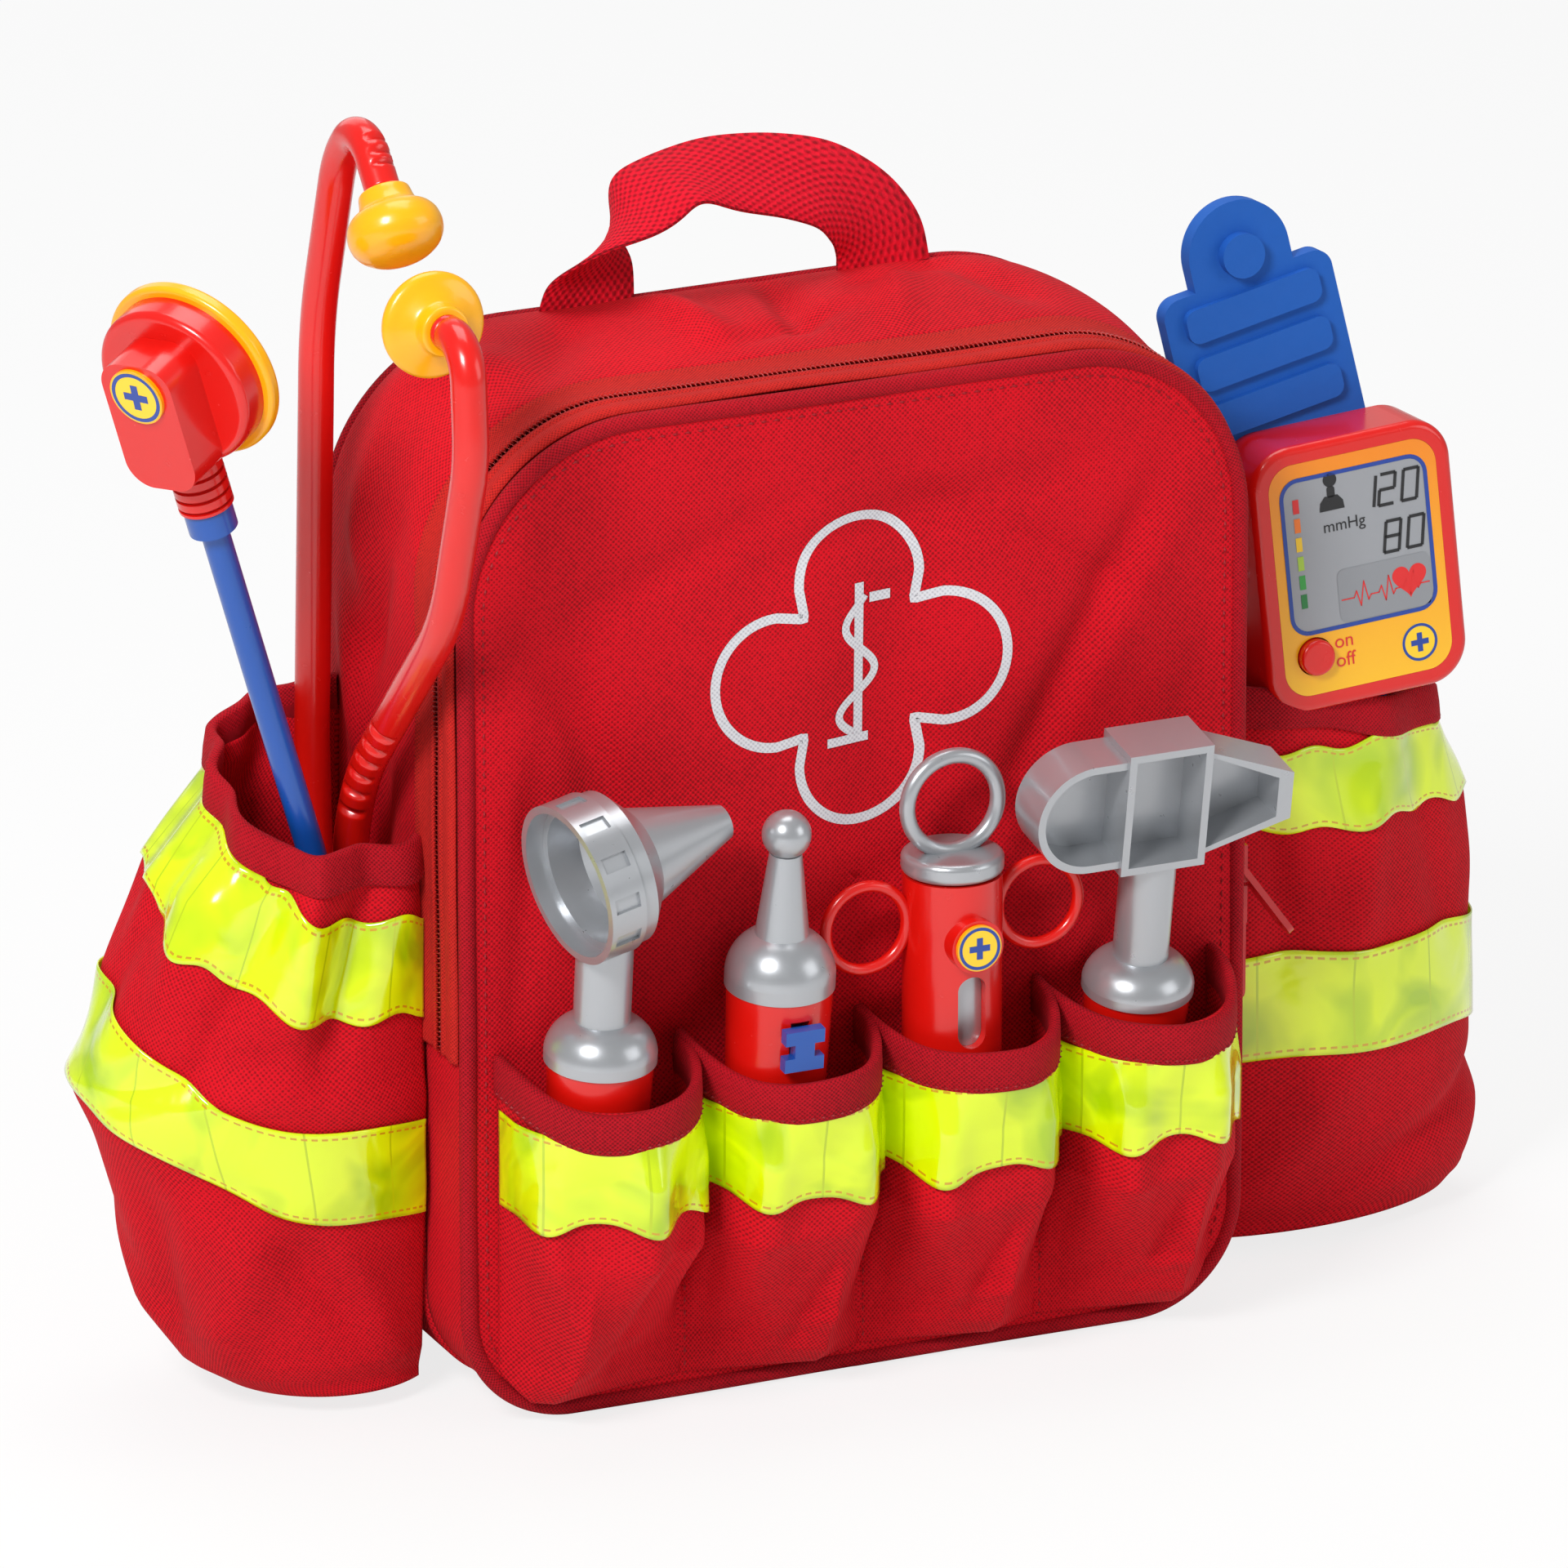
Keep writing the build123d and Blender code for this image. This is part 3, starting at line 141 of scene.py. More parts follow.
def woven(name, light, dark, pitch, relief=0.25, ribs=(1, 1)):
    """Woven cloth: two sine waves in UV metres, multiplied, give the relief of the threads.

    The same waves darken the colour where the threads dip, as painted shade between them. Pitch
    is the length of a wave, which is two threads. Noise of about 1 mm is the slub of the yarn, and
    noise of about 36 mm the uneven dye.
    """
    material, output = new_material(name)
    place = add_node(material, "ShaderNodeTexCoord")
    parts = add_node(material, "ShaderNodeSeparateXYZ", links={"Vector": place.outputs["UV"]})
    waves = []
    for socket, share in zip(("X", "Y"), ribs):
        turned = add_node(
            material, "ShaderNodeMath",
            {"operation": "MULTIPLY", 1: share * 2 * math.pi / pitch}, {0: parts.outputs[socket]},
        )
        waves.append(
            add_node(material, "ShaderNodeMath", {"operation": "SINE"}, {0: turned.outputs[0]})
        )
    threads = add_node(
        material, "ShaderNodeMath", {"operation": "MULTIPLY"},
        {0: waves[0].outputs[0], 1: waves[1].outputs[0]},
    )
    slub = add_node(
        material, "ShaderNodeTexNoise", {"Scale": 900.0, "Detail": 3.0},
        {"Vector": place.outputs["Object"]},
    )
    dye = add_node(
        material, "ShaderNodeTexNoise", {"Scale": 28.0, "Detail": 2.0},
        {"Vector": place.outputs["Object"]},
    )
    # Painted shade between the threads, from the thread waves.
    shade = add_node(
        material, "ShaderNodeMath", {"operation": "MULTIPLY_ADD", 1: 0.34, 2: 0.5},
        {0: threads.outputs[0]},
    )
    # The yarn's slub, plus the painted shade between the threads.
    grain = add_node(
        material, "ShaderNodeMath", {"operation": "MULTIPLY_ADD", 1: 0.5},
        {0: slub.outputs[0], 2: shade.outputs[0]},
    )
    total = add_node(
        material, "ShaderNodeMath", {"operation": "MULTIPLY_ADD", 1: 0.35},
        {0: dye.outputs[0], 2: grain.outputs[0]},
    )
    # The colour runs from the dark to the light tone with the slub, the uneven dye and the painted
    # shade between the threads.
    ramp = add_node(material, "ShaderNodeValToRGB", links={"Fac": total.outputs[0]})
    ramp.color_ramp.elements[0].position = 0.62
    ramp.color_ramp.elements[0].color = colour(dark)
    ramp.color_ramp.elements[1].position = 1.0
    ramp.color_ramp.elements[1].color = colour(light)
    bump = add_node(
        material, "ShaderNodeBump", {"Strength": relief, "Distance": 0.0005},
        {"Height": grain.outputs[0]},
    )
    surface = add_node(
        material, "ShaderNodeBsdfPrincipled",
        {"Roughness": 0.85, "Specular IOR Level": 0.25, "Sheen Weight": 0.03,
         "Sheen Tint": colour("#FF6060")},
        {"Base Color": ramp.outputs[0], "Normal": bump.outputs[0]},
    )
    material.node_tree.links.new(surface.outputs[0], output.inputs[0])
    return material


# Polyester oxford, dyed in the piece: a matt basket weave with a faint sheen. Its threads are
# 0.4 mm apart, and 0.7 mm here, so that they show.
bag_cloth = woven("polyester_oxford", "#D8021B", "#8C000E", 0.0014, 0.5)
cloth_thickness = 0.0012
half_width, bag_height, bag_middle = 107.5, 262.0, 131.0
foot_radius, shoulder_radius = 30.0, 48.0


def sheet_mesh(name, points, uv, material, wrap=False):
    """Smooth grid of quads through an array of points, with UVs, both in metres.

    Wrap joins the last column to the first.
    """
    rows, columns = points.shape[:2]
    index = np.arange(rows * columns).reshape(rows, columns)
    if wrap:
        index = np.concatenate([index, index[:, :1]], axis=1)
    quads = np.stack([index[:-1, :-1], index[:-1, 1:], index[1:, 1:], index[1:, :-1]], axis=-1)
    quads = quads.reshape(-1, 4)
    mesh = bpy.data.meshes.new(name)
    mesh.from_pydata(points.reshape(-1, 3).tolist(), [], quads.tolist())
    layer = mesh.uv_layers.new(name="UVMap")
    corner_uv = uv.reshape(-1, 2)[quads.reshape(-1)]
    layer.data.foreach_set("uv", corner_uv.astype(np.float32).reshape(-1))
    mesh.polygons.foreach_set("use_smooth", [True] * len(mesh.polygons))
    mesh.materials.append(material)
    piece = bpy.data.objects.new(name, mesh)
    bpy.context.collection.objects.link(piece)
    return piece


def thicken(piece, thickness, side):
    """Gives a sheet its thickness in metres, behind its faces where side is -1, in front at 1."""
    wall = piece.modifiers.new("thickness", "SOLIDIFY")
    wall.thickness, wall.offset = thickness, side


def bag_path(inset, step=1.0):
    """Bag outline seen from the front, from the middle of the base round to the right.

    It is four straight runs and four arcs, moved in by the inset and cut into equal steps, in
    millimetres. Returns x, z, the outward direction and the run length of each point.
    """
    foot_x, shoulder_x = half_width - foot_radius, half_width - shoulder_radius
    shoulder_z = bag_height - shoulder_radius
    corners = (
        (foot_x, foot_radius, foot_radius, -90), (shoulder_x, shoulder_z, shoulder_radius, 0),
        (-shoulder_x, shoulder_z, shoulder_radius, 90), (-foot_x, foot_radius, foot_radius, 180),
    )
    line = [(0.0, inset)]
    for x, z, radius, start in corners:
        for turn in np.radians(np.linspace(start, start + 90, 24)):
            reach = radius - inset
            line.append((x + reach * math.cos(turn), z + reach * math.sin(turn)))
    line.append((0.0, inset))
    line = np.array(line)
    run = np.concatenate([[0], np.cumsum(np.hypot(*np.diff(line, axis=0).T))])
    steps = np.linspace(0, run[-1], int(run[-1] / step) + 1)
    x, z = np.interp(steps, run, line[:, 0]), np.interp(steps, run, line[:, 1])
    way = np.stack([np.gradient(x), np.gradient(z)], axis=-1)
    way /= np.hypot(way[:, 0], way[:, 1])[:, None]
    return x, z, np.stack([way[:, 1], -way[:, 0]], axis=-1), steps


def creases(u, v, folds):
    """Sum of soft ridges, each a bell across its line that ends square along it.

    Each fold is (u, v, angle, length, width, height), with the angle in degrees.
    """
    total = np.zeros(np.broadcast(u, v).shape)
    for fold_u, fold_v, angle, length, width, height in folds:
        turn = math.radians(angle)
        along = (u - fold_u) * math.cos(turn) + (v - fold_v) * math.sin(turn)
        across = (v - fold_v) * math.cos(turn) - (u - fold_u) * math.sin(turn)
        total += height * np.exp(-(across / width) ** 2 - (along / length) ** 4)
    return total


def panel_depth(x, z):
    """Depth y of the front panel's cloth in millimetres.

    It is a plane with a crown that fades towards the piping, and a few long creases on it.
    """
    plane, crown, crease_share = -43.8, 1.3, 1.4
    edge = (np.clip(1 - (np.abs(x) / 103.0) ** 4, 0, 1)
            * np.clip(1 - (np.abs(z - bag_middle) / 126.5) ** 4, 0, 1))
    folds = (
        (82, 205, 55, 42, 7, -1.2), (64, 190, 62, 50, 6, 3.2), (88, 150, 75, 44, 6, 2.6),
        (-88, 205, 118, 36, 5, 2.4), (-70, 165, 100, 52, 8, 3.0), (-90, 140, 84, 44, 5, 2.4),
        (30, 228, 10, 66, 7, 1.8), (-30, 108, 30, 44, 7, 2.4), (46, 214, 150, 40, 5, 2.0),
        (-48, 222, 20, 40, 6, 1.6), (78, 118, 60, 34, 5, 2.2), (50, 120, 120, 34, 7, -1.2),
        (12, 190, 84, 60, 16, 2.8),
    )
    return plane - crown * edge + crease_share * edge * creases(x, z, folds)


x, z = bag_path(3.4, 1.6)[:2]
share = (np.linspace(1, 0, 70) ** 0.9)[:, None]
panel_x, panel_z = x[None] * share, bag_middle + (z[None] - bag_middle) * share
panel_y = panel_depth(panel_x, panel_z)
panel_points = np.stack([panel_x, panel_y, panel_z], axis=-1)[:, :-1] / 1000
panel = sheet_mesh("panel_cloth", panel_points, panel_points[..., [0, 2]], bag_cloth, True)
thicken(panel, cloth_thickness, -1)
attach(panel, "flap")
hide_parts("front_panel")

# EMBLEM
# Generic printed sign: the outline of a cross with round arms, and a rod with a winding line.
# It is screen printed on the panel, so it is thin and lies on the cloth.
# Plastisol ink, pressed through a screen and cured: matt off-white that still shows the weave.
print_ink = woven("plastisol_ink", "#DCDCE0", "#B9B9C0", 0.0013, 0.15)
ink_lift = 0.12


def ribbon(name, line, width, lift=ink_lift, closed=False):
    """Printed stroke along x, z points: a strip of this width that follows the panel's depth."""
    line = np.array(line, dtype=float)
    if closed:
        line = np.concatenate([line, line[:1]])
    run = np.concatenate([[0], np.cumsum(np.hypot(*np.diff(line, axis=0).T))])
    steps = np.linspace(0, run[-1], max(3, int(run[-1] / 0.7)))
    x, z = np.interp(steps, run, line[:, 0]), np.interp(steps, run, line[:, 1])
    if closed:
        way_x, way_z = np.roll(x, -1) - np.roll(x, 1), np.roll(z, -1) - np.roll(z, 1)
        way_x[[0, -1]], way_z[[0, -1]] = x[1] - x[-2], z[1] - z[-2]
    else:
        way_x, way_z = np.gradient(x), np.gradient(z)
    size = np.hypot(way_x, way_z)
    side = np.linspace(-width / 2, width / 2, 4)[:, None]
    ribbon_x, ribbon_z = x - side * way_z / size, z + side * way_x / size
    ribbon_y = panel_depth(ribbon_x, ribbon_z) - lift
    points = np.stack([ribbon_x, ribbon_y, ribbon_z], axis=-1)[::-1] / 1000
    return sheet_mesh(name, points, points[..., [0, 2]], print_ink)


sign_x, sign_z = 0.7, 187.0
arm_reach, arm_half, notch = 37.5, 16.0, 15.6
cross = []
for quarter in range(4):
    turn = math.radians(-90 * quarter)
    arm = [(-notch, notch)]
    arm += [(-arm_half * 1.06 * math.cos(a),
             arm_reach - arm_half * 0.9 + arm_half * 1.05 * math.sin(a))
            for a in np.linspace(0.0, math.pi, 30)]
    for px, pz in arm:
        cross.append((px * math.cos(turn) - pz * math.sin(turn) + sign_x,
                      (px * math.sin(turn) + pz * math.cos(turn)) + sign_z))
cross_outline = ribbon("emblem_cross", np.array(cross), 2.6, closed=True)
wave = [(sign_x + 6.0 * math.sin(s * 2 * math.pi * 1.55 + 2.6) * (0.55 + 0.45 * s), 206.0 - 36 * s)
        for s in np.linspace(0, 1, 60)]
marks = (
    ("emblem_rod", [(0.7, 209.5), (0.7, 169.5)], 2.6), ("emblem_line", wave, 2.2),
    ("emblem_foot", [(-8.3, 168.5), (3.7, 168.5)], 2.4),
    ("emblem_tip", [(3.7, 205.1), (9.7, 205.1)], 2.6),
)
emblem = [cross_outline] + [ribbon(name, line, width, ink_lift + 0.04 * number)
                            for number, (name, line, width) in enumerate(marks, 1)]
for piece in emblem:
    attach(piece, "flap")

# STITCHING
# Polyester thread, twisted and dyed darker than the cloth, in rows of lockstitch: beside the
# piping of the front and back panels, and down the seams between the pouches.
thread = plastic("polyester_thread", "#9A0A18", roughness=0.6, coat=0.0)


def stitches(name, line, out, body, pitch=3.4):
    """Row of stitches along a line in millimetres, each a four-sided bead 60% of the pitch long.

    Out is the direction away from the cloth at each point of the line.
    """
    run = np.concatenate([[0], np.cumsum(np.linalg.norm(np.diff(line, axis=0), axis=-1))])
    starts = np.arange(pitch / 2, run[-1] - pitch, pitch)
    first, last = (
        np.stack([np.interp(starts + shift, run, line[:, i]) for i in range(3)], -1)
        for shift in (0, pitch * 0.6)
    )
    lift = np.stack([np.interp(starts, run, out[:, i]) for i in range(3)], -1)
    lift /= np.linalg.norm(lift, axis=-1)[:, None]
    way = (last - first) / np.linalg.norm(last - first, axis=-1)[:, None]
    side = np.cross(way, lift)
    middle = (first + last) / 2
    beads = np.stack([
        first - 0.1 * lift, middle + 0.36 * side, middle + 0.45 * lift, middle - 0.36 * side,
        last - 0.1 * lift,
    ], axis=1)
    faces = np.array([(0, 1, 2), (0, 2, 3), (4, 2, 1), (4, 3, 2), (0, 3, 1), (4, 1, 3)])
    faces = (np.arange(len(beads))[:, None, None] * 5 + faces[None]).reshape(-1, 3)
    mesh = bpy.data.meshes.new(name)
    mesh.from_pydata((beads.reshape(-1, 3) / 1000).tolist(), [], faces.tolist())
    mesh.materials.append(thread)
    piece = bpy.data.objects.new(name, mesh)
    bpy.context.collection.objects.link(piece)
    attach(piece, body)
    return piece


forward, backward = [0.0, -1.0, 0.0], [0.0, 1.0, 0.0]
x, z = bag_path(6.6, 1.2)[:2]
line = np.stack([x, panel_depth(x, z) - 0.1, z], axis=-1)
stitches("panel_stitches", line, np.tile(forward, (len(line), 1)), "flap")
x, z = bag_path(7.0, 1.2)[:2]
line = np.stack([x, 0 * x + 42.1, z], axis=-1)
stitches("back_stitches", line, np.tile(backward, (len(line), 1)), "bag")
for number, seam_x in enumerate((-49.0, 0.0, 49.0), 1):
    line = np.stack([np.full(40, seam_x), np.full(40, -47.9), np.linspace(8, 60, 40)], axis=-1)
    stitches(f"pouch_seam_stitches_{number}", line, np.tile(forward, (40, 1)), "flap")

# PIPING
# Cord piping round the front and back edges of the bag, covered in binding cloth cut on the
# bias. It is pulled tight by the seam, with a slight waver.
# Polyester plain weave, dyed with the bag and a little darker: finer and flatter than the oxford.
binding_cloth = woven("plain_weave_binding", "#B8041B", "#78000F", 0.0011, 0.6)


def sweep_profile(name, centre, side, rise, profile, material, closed=False):
    """Solid strip: a closed profile of (side, rise) offsets carried along a line, all in mm."""
    profile = np.array(profile, dtype=float)
    points = (centre[:, None] + side[:, None] * profile[None, :, :1]
              + rise[:, None] * profile[None, :, 1:])
    if closed:
        points = np.concatenate([points, points[:1]])
    edge = np.linalg.norm(np.diff(points[:, 0], axis=0), axis=-1)
    run = np.concatenate([[0], np.cumsum(edge)])
    around = np.concatenate([[0], np.cumsum(np.hypot(*np.diff(profile, axis=0).T))])
    uv = np.stack(np.broadcast_arrays(run[:, None], around[None]), axis=-1) / 1000
    return sheet_mesh(name, points / 1000, uv, material, True)


def round_profile(radius, count=12):
    """Circle as a profile."""
    return [(radius * math.cos(a), radius * math.sin(a))
            for a in np.linspace(0, 2 * math.pi, count, endpoint=False)]


cord_radius = 2.25
for name, depth, body in (("front_piping", -42.8, "flap"), ("back_piping", 42.8, "bag")):
    x, z, facing, run = bag_path(2.2, 1.2)
    waver = 0.25 * np.sin(run / 17) * np.sin(run / 41)
    centre = np.stack([x, depth + waver, z], axis=-1)[:-1]
    side = np.stack([facing[:, 0], 0 * x, facing[:, 1]], axis=-1)[:-1]
    piping = sweep_profile(f"{name}_cord", centre, side, np.tile(forward, (len(centre), 1)),
                           round_profile(cord_radius), binding_cloth, True)
    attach(piping, body)
    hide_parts(name)

# GUSSET
# Soft side and top walls of oxford behind the zip and below its two ends. They swell a little
# and crease across.


def gusset_bulge(y, x, z):
    """Outward swell of the gusset in millimetres.

    It is widest at the middle of the depth and at the top, where creases run across it; below
    the shoulders it is only creased.
    """
    across = np.clip(1 - ((y - 11) / 30.0) ** 2, 0, 1)
    top = np.clip((z - 190) / 60, 0, 1)
    top_folds = (
        (-22, 14, 96, 26, 6, 1.8), (8, 20, 80, 26, 5, -2.2), (34, 8, 70, 30, 6, 1.6),
        (62, 16, 100, 24, 6, -1.8), (-60, 4, 60, 26, 6, -1.8), (-84, 20, 110, 26, 7, 1.8),
        (48, 30, 30, 22, 5, -1.4), (-6, -4, 20, 24, 4, -1.0),
    )
    side_folds = (
        (232, 20, 12, 24, 7, 2.0), (206, 6, -24, 26, 6, -2.0), (178, 24, 18, 24, 7, 1.8),
        (140, 12, -10, 26, 9, -1.6), (222, -8, 40, 18, 5, -1.2), (96, 10, 8, 30, 9, 1.2),
    )
    return across * (3.2 * top + 2.3 * top * creases(x, y, top_folds)
                     + 2.2 * (1 - top) * creases(z, y, side_folds))


def bag_band(path, order, depths, lift):
    """Points of a band round the bag: the path in this order, lifted outwards, at each depth y."""
    x, z, facing = path[:3]
    return np.stack([
        x[order][:, None] + facing[order, 0][:, None] * lift,
        np.broadcast_to(depths[None], lift.shape),
        z[order][:, None] + facing[order, 1][:, None] * lift,
    ], axis=-1) / 1000


path = x, z, facing, run = bag_path(0.0, 1.6)
walls = (
    ("upper_wall", z > 96, np.linspace(-18, 41, 40), ["upper_gusset"]),
    ("lower_wall", z < 98, np.linspace(-18, 41, 40), ["lower_gusset"]),
    ("gore_wall", z < 98, np.linspace(-41, -18, 16), ["side_gore_left", "side_gore_right"]),
)
for name, wanted, depths, replaced in walls:
    first = 0 if name == "upper_wall" else np.argmax((z > bag_middle) & (run > 0))
    order = np.roll(np.arange(len(x) - 1), -first)
    order = order[wanted[order]]
    swell = gusset_bulge(depths[None], x[order][:, None], z[order][:, None])
    swell -= 0.9 * (np.abs(depths - 11.5) > 28)[None]
    rows = np.arange(len(order))[:, None] * 0.0016
    uv = np.stack(np.broadcast_arrays(rows, depths[None] / 1000), axis=-1)
    wall = sheet_mesh(name, bag_band(path, order, depths, swell), uv, bag_cloth)
    thicken(wall, cloth_thickness, -1)
    if name == "gore_wall":
        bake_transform(wall)
    else:
        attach(wall, "bag")
    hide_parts(*replaced)

# ZIP
# Coil zip round the front edge: two woven tapes with a sewn line, and one wound coil between
# them that starts and stops at the cross seams, 97 mm up.
# Polyester tape, woven as a fine twill and dyed warmer than the bag.
zip_cloth = woven("twill_tape", "#C8201A", "#8E100E", 0.0010, 0.4)
# Nylon wire, extruded and wound round a cord: smooth, with a small highlight on each turn.
zip_coil = plastic("nylon_coil", "#B01A14", roughness=0.35)

path = x, z, facing, run = bag_path(0.0, 0.9)
first = np.argmax(z > 97)
order = np.arange(first, len(z) - np.argmax(z[::-1] > 97))
tape_bands = (
    ("zip_tape_front_cloth", np.array([-40.6, -38.5, -35, -33.4, -32.6, -31.2]),
     np.array([-0.2, 0.7, 0.2, -0.2, 0.3, 0.1]), "flap", "zip_tape_front"),
    ("zip_tape_back_cloth", np.array([-28.8, -27.4, -26.6, -24, -20, -18.6, -17.8]),
     np.array([0.1, 0.3, -0.2, 0.0, 0.3, 0.9, 0.4]), "bag", "zip_tape_back"),
)
for name, depths, lifts, body, replaced in tape_bands:
    band_run = run[order][:, None]
    level = lifts[None] - 0.5 + 0.25 * np.sin(band_run / 14) * np.sin(band_run / 37 + depths / 9)
    uv = np.stack(np.broadcast_arrays(band_run / 1000, depths[None] / 1000), axis=-1)
    band = sheet_mesh(name, bag_band(path, order, depths, level), uv, zip_cloth)
    thicken(band, 0.0008, 1)
    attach(band, body)
    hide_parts(replaced)

coil_depth, coil_pitch = -30.0, 1.3
coil_run = run[order] - run[order][0]
steps = np.arange(0, coil_run[-1], 0.16)
turn = steps / coil_pitch * 2 * math.pi
centre = np.stack([np.interp(steps, coil_run, x[order]), np.full(len(steps), coil_depth),
                   np.interp(steps, coil_run, z[order])], axis=-1)
out = np.stack([np.interp(steps, coil_run, facing[order, 0]), 0 * steps,
                np.interp(steps, coil_run, facing[order, 1])], axis=-1)
centre += out * (0.2 + 0.55 * np.cos(turn))[:, None]
centre += np.array([0, 1, 0]) * (1.25 * np.sin(turn))[:, None]
coil = sweep_profile("zip_coil_turns", centre, out, np.tile(backward, (len(steps), 1)),
                     round_profile(0.34, 4), zip_coil)
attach(coil, "bag")

# FRONT POUCHES
# Four gathered sleeves of oxford sewn side by side on the front panel. Their cloth is pleated
# under the tape and falls in folds to the sewn foot.


def pouch_gathers(s, number):
    """Gathers round a pouch: three soft bumps whose mean is near zero."""
    gathers = (
        (-0.62, 0.06, 0.66), (-0.38, 0.34, 0.8), (-0.4, 0.36, 0.82), (-0.34, 0.3, 0.74),
    )[number - 1]
    return sum(np.exp(-((s - at) / 0.17) ** 2) for at in gathers) - 0.42


def pouch_surface(middle, s, h, lift, number):
    """Point on a front pouch: s runs from -1 to 1 round it, h is its height, lift its growth.

    High up it is a half round sleeve with gathers; towards the foot it turns into a tent with one
    pleat.
    """
    reach = np.interp(h, [6, 12, 30, 50, 70, 84, 96], [6, 14, 25, 33.5, 35.5, 35.5, 35.0])
    tent = np.clip((50 - h) / 32, 0, 1)
    ridge = (-0.5, 0.42, 0.4, 0.46)[number - 1] * np.clip((90 - h) / 80, 0, 1)
    slope = np.where(s < ridge, (1 + s) / (1 + ridge), (1 - s) / (1 - ridge))
    angle = s * math.pi / 2
    profile = (1 - tent) * np.cos(angle) ** 0.9 + tent * np.clip(slope, 0, 1) ** 1.25
    sideways = (1 - tent) * np.sin(angle) + tent * s
    gathered = np.clip((85 - h) / 12, 0, 1) * np.clip((h - 24) / 30, 0, 1)
    ripple = pouch_gathers(s, number) * gathered
    folds = creases(s * 24, h, (
        (-12 + 2 * number, 36, 104, 26, 3.4, 1.6), (6 - number, 30, 80, 26, 3.0, -1.6),
        (15, 44, 98, 22, 3.0, 1.2), (-18, 30, 84, 20, 2.8, -1.2), (0, 20, 20, 16, 3.0, 1.0),
    ))
    low = np.clip((70 - h) / 14, 0, 1) * np.clip((h - 6) / 16, 0, 1)
    swell = (6.6 * ripple + 1.8 * low * folds) * np.clip((1 - np.abs(s)) * 6, 0, 1)
    half = 24.45
    px = middle + np.clip((half + 0.3 * swell + lift) * sideways, -half, half)
    py = -44.0 - (reach + lift + swell) * profile - lift * 0.4
    return np.stack(np.broadcast_arrays(px, py, h), axis=-1)


pouch_middles = (-73.5, -24.5, 24.5, 73.5)
for number, middle_x in enumerate(pouch_middles, 1):
    s, h = np.meshgrid(np.linspace(-1, 1, 110), np.linspace(6.5, 93, 90))
    points = pouch_surface(middle_x, s, h, 0.0, number)
    if number in (1, 4):
        limit = 103.0 - np.clip(30 - points[..., 2], 0, 30) ** 2 / 45
        points[..., 0] = np.clip(points[..., 0], -limit, limit)
    uv = np.stack([s * 0.036, h / 1000], axis=-1)
    pouch = sheet_mesh(f"pouch_cloth_{number}", points / 1000, uv, bag_cloth)
    thicken(pouch, cloth_thickness, -1)
    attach(pouch, "flap")
    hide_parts(f"front_pouch_{number}")

# POUCH TAPE
# Fluorescent tape under the pouches' binding. It is sewn on and gathered with the cloth, so its
# lower edge waves in and out.


def glossy_tape(name, width):
    """Film over a printed ground: cloudy green, with dashes 1.6 mm inside each edge of its width
    for the sewn lines, and a thin cross line every 25 mm where the film is welded.
    """
    material, output = new_material(name)
    place = add_node(material, "ShaderNodeTexCoord")
    parts = add_node(material, "ShaderNodeSeparateXYZ", links={"Vector": place.outputs["UV"]})
    noise = add_node(
        material, "ShaderNodeTexNoise", {"Scale": 44.0, "Detail": 2.0, "Distortion": 0.8},
        {"Vector": place.outputs["Object"]},
    )
    tone = add_node(material, "ShaderNodeValToRGB", links={"Fac": noise.outputs[0]})
    shades = ((0.32, "#A6C800"), (0.56, "#D8EE00"))
    for element, (position, shade) in zip(tone.color_ramp.elements, shades):
        element.position, element.color = position, colour(shade)
    centred = add_node(
        material, "ShaderNodeMath", {"operation": "SUBTRACT", 1: width / 2},
        {0: parts.outputs["Y"]},
    )
    away = add_node(
        material, "ShaderNodeMath", {"operation": "ABSOLUTE"}, {0: centred.outputs[0]}
    )
    sewn_line = add_node(
        material, "ShaderNodeMath", {"operation": "COMPARE", 1: width / 2 - 0.0016, 2: 0.00028},
        {0: away.outputs[0]},
    )
    turned = add_node(
        material, "ShaderNodeMath", {"operation": "MULTIPLY", 1: 2 * math.pi / 0.0028},
        {0: parts.outputs["X"]},
    )
    dash = add_node(material, "ShaderNodeMath", {"operation": "SINE"}, {0: turned.outputs[0]})
    dashed = add_node(
        material, "ShaderNodeMath", {"operation": "GREATER_THAN", 1: -0.3}, {0: dash.outputs[0]}
    )
    stitch = add_node(
        material, "ShaderNodeMath", {"operation": "MULTIPLY"},
        {0: sewn_line.outputs[0], 1: dashed.outputs[0]},
    )
    spaced = add_node(
        material, "ShaderNodeMath", {"operation": "PINGPONG", 1: 0.0125}, {0: parts.outputs["X"]}
    )
    weld = add_node(
        material, "ShaderNodeMath", {"operation": "LESS_THAN", 1: 0.0003}, {0: spaced.outputs[0]}
    )
    welded = add_node(
        material, "ShaderNodeMix", {"data_type": "RGBA", 7: colour("#B4CC00")},
        {0: weld.outputs[0], 6: tone.outputs[0]},
    )
    sewn = add_node(
        material, "ShaderNodeMix", {"data_type": "RGBA", 7: colour("#C79A10")},
        {0: stitch.outputs[0], 6: welded.outputs[2]},
    )
    bump = add_node(
        material, "ShaderNodeBump", {"Strength": 0.6, "Distance": 0.003},
        {"Height": noise.outputs[0]},
    )
    # Painted glow: the tape gives off a faint light of its own colour.
    surface = add_node(
        material, "ShaderNodeBsdfPrincipled",
        {"Roughness": 0.16, "Coat Weight": 1.0, "Coat Roughness": 0.04, "Emission Strength": 0.1},
        {"Base Color": sewn.outputs[2], "Emission Color": sewn.outputs[2],
         "Normal": bump.outputs[0]},
    )
    material.node_tree.links.new(surface.outputs[0], output.inputs[0])
    return material
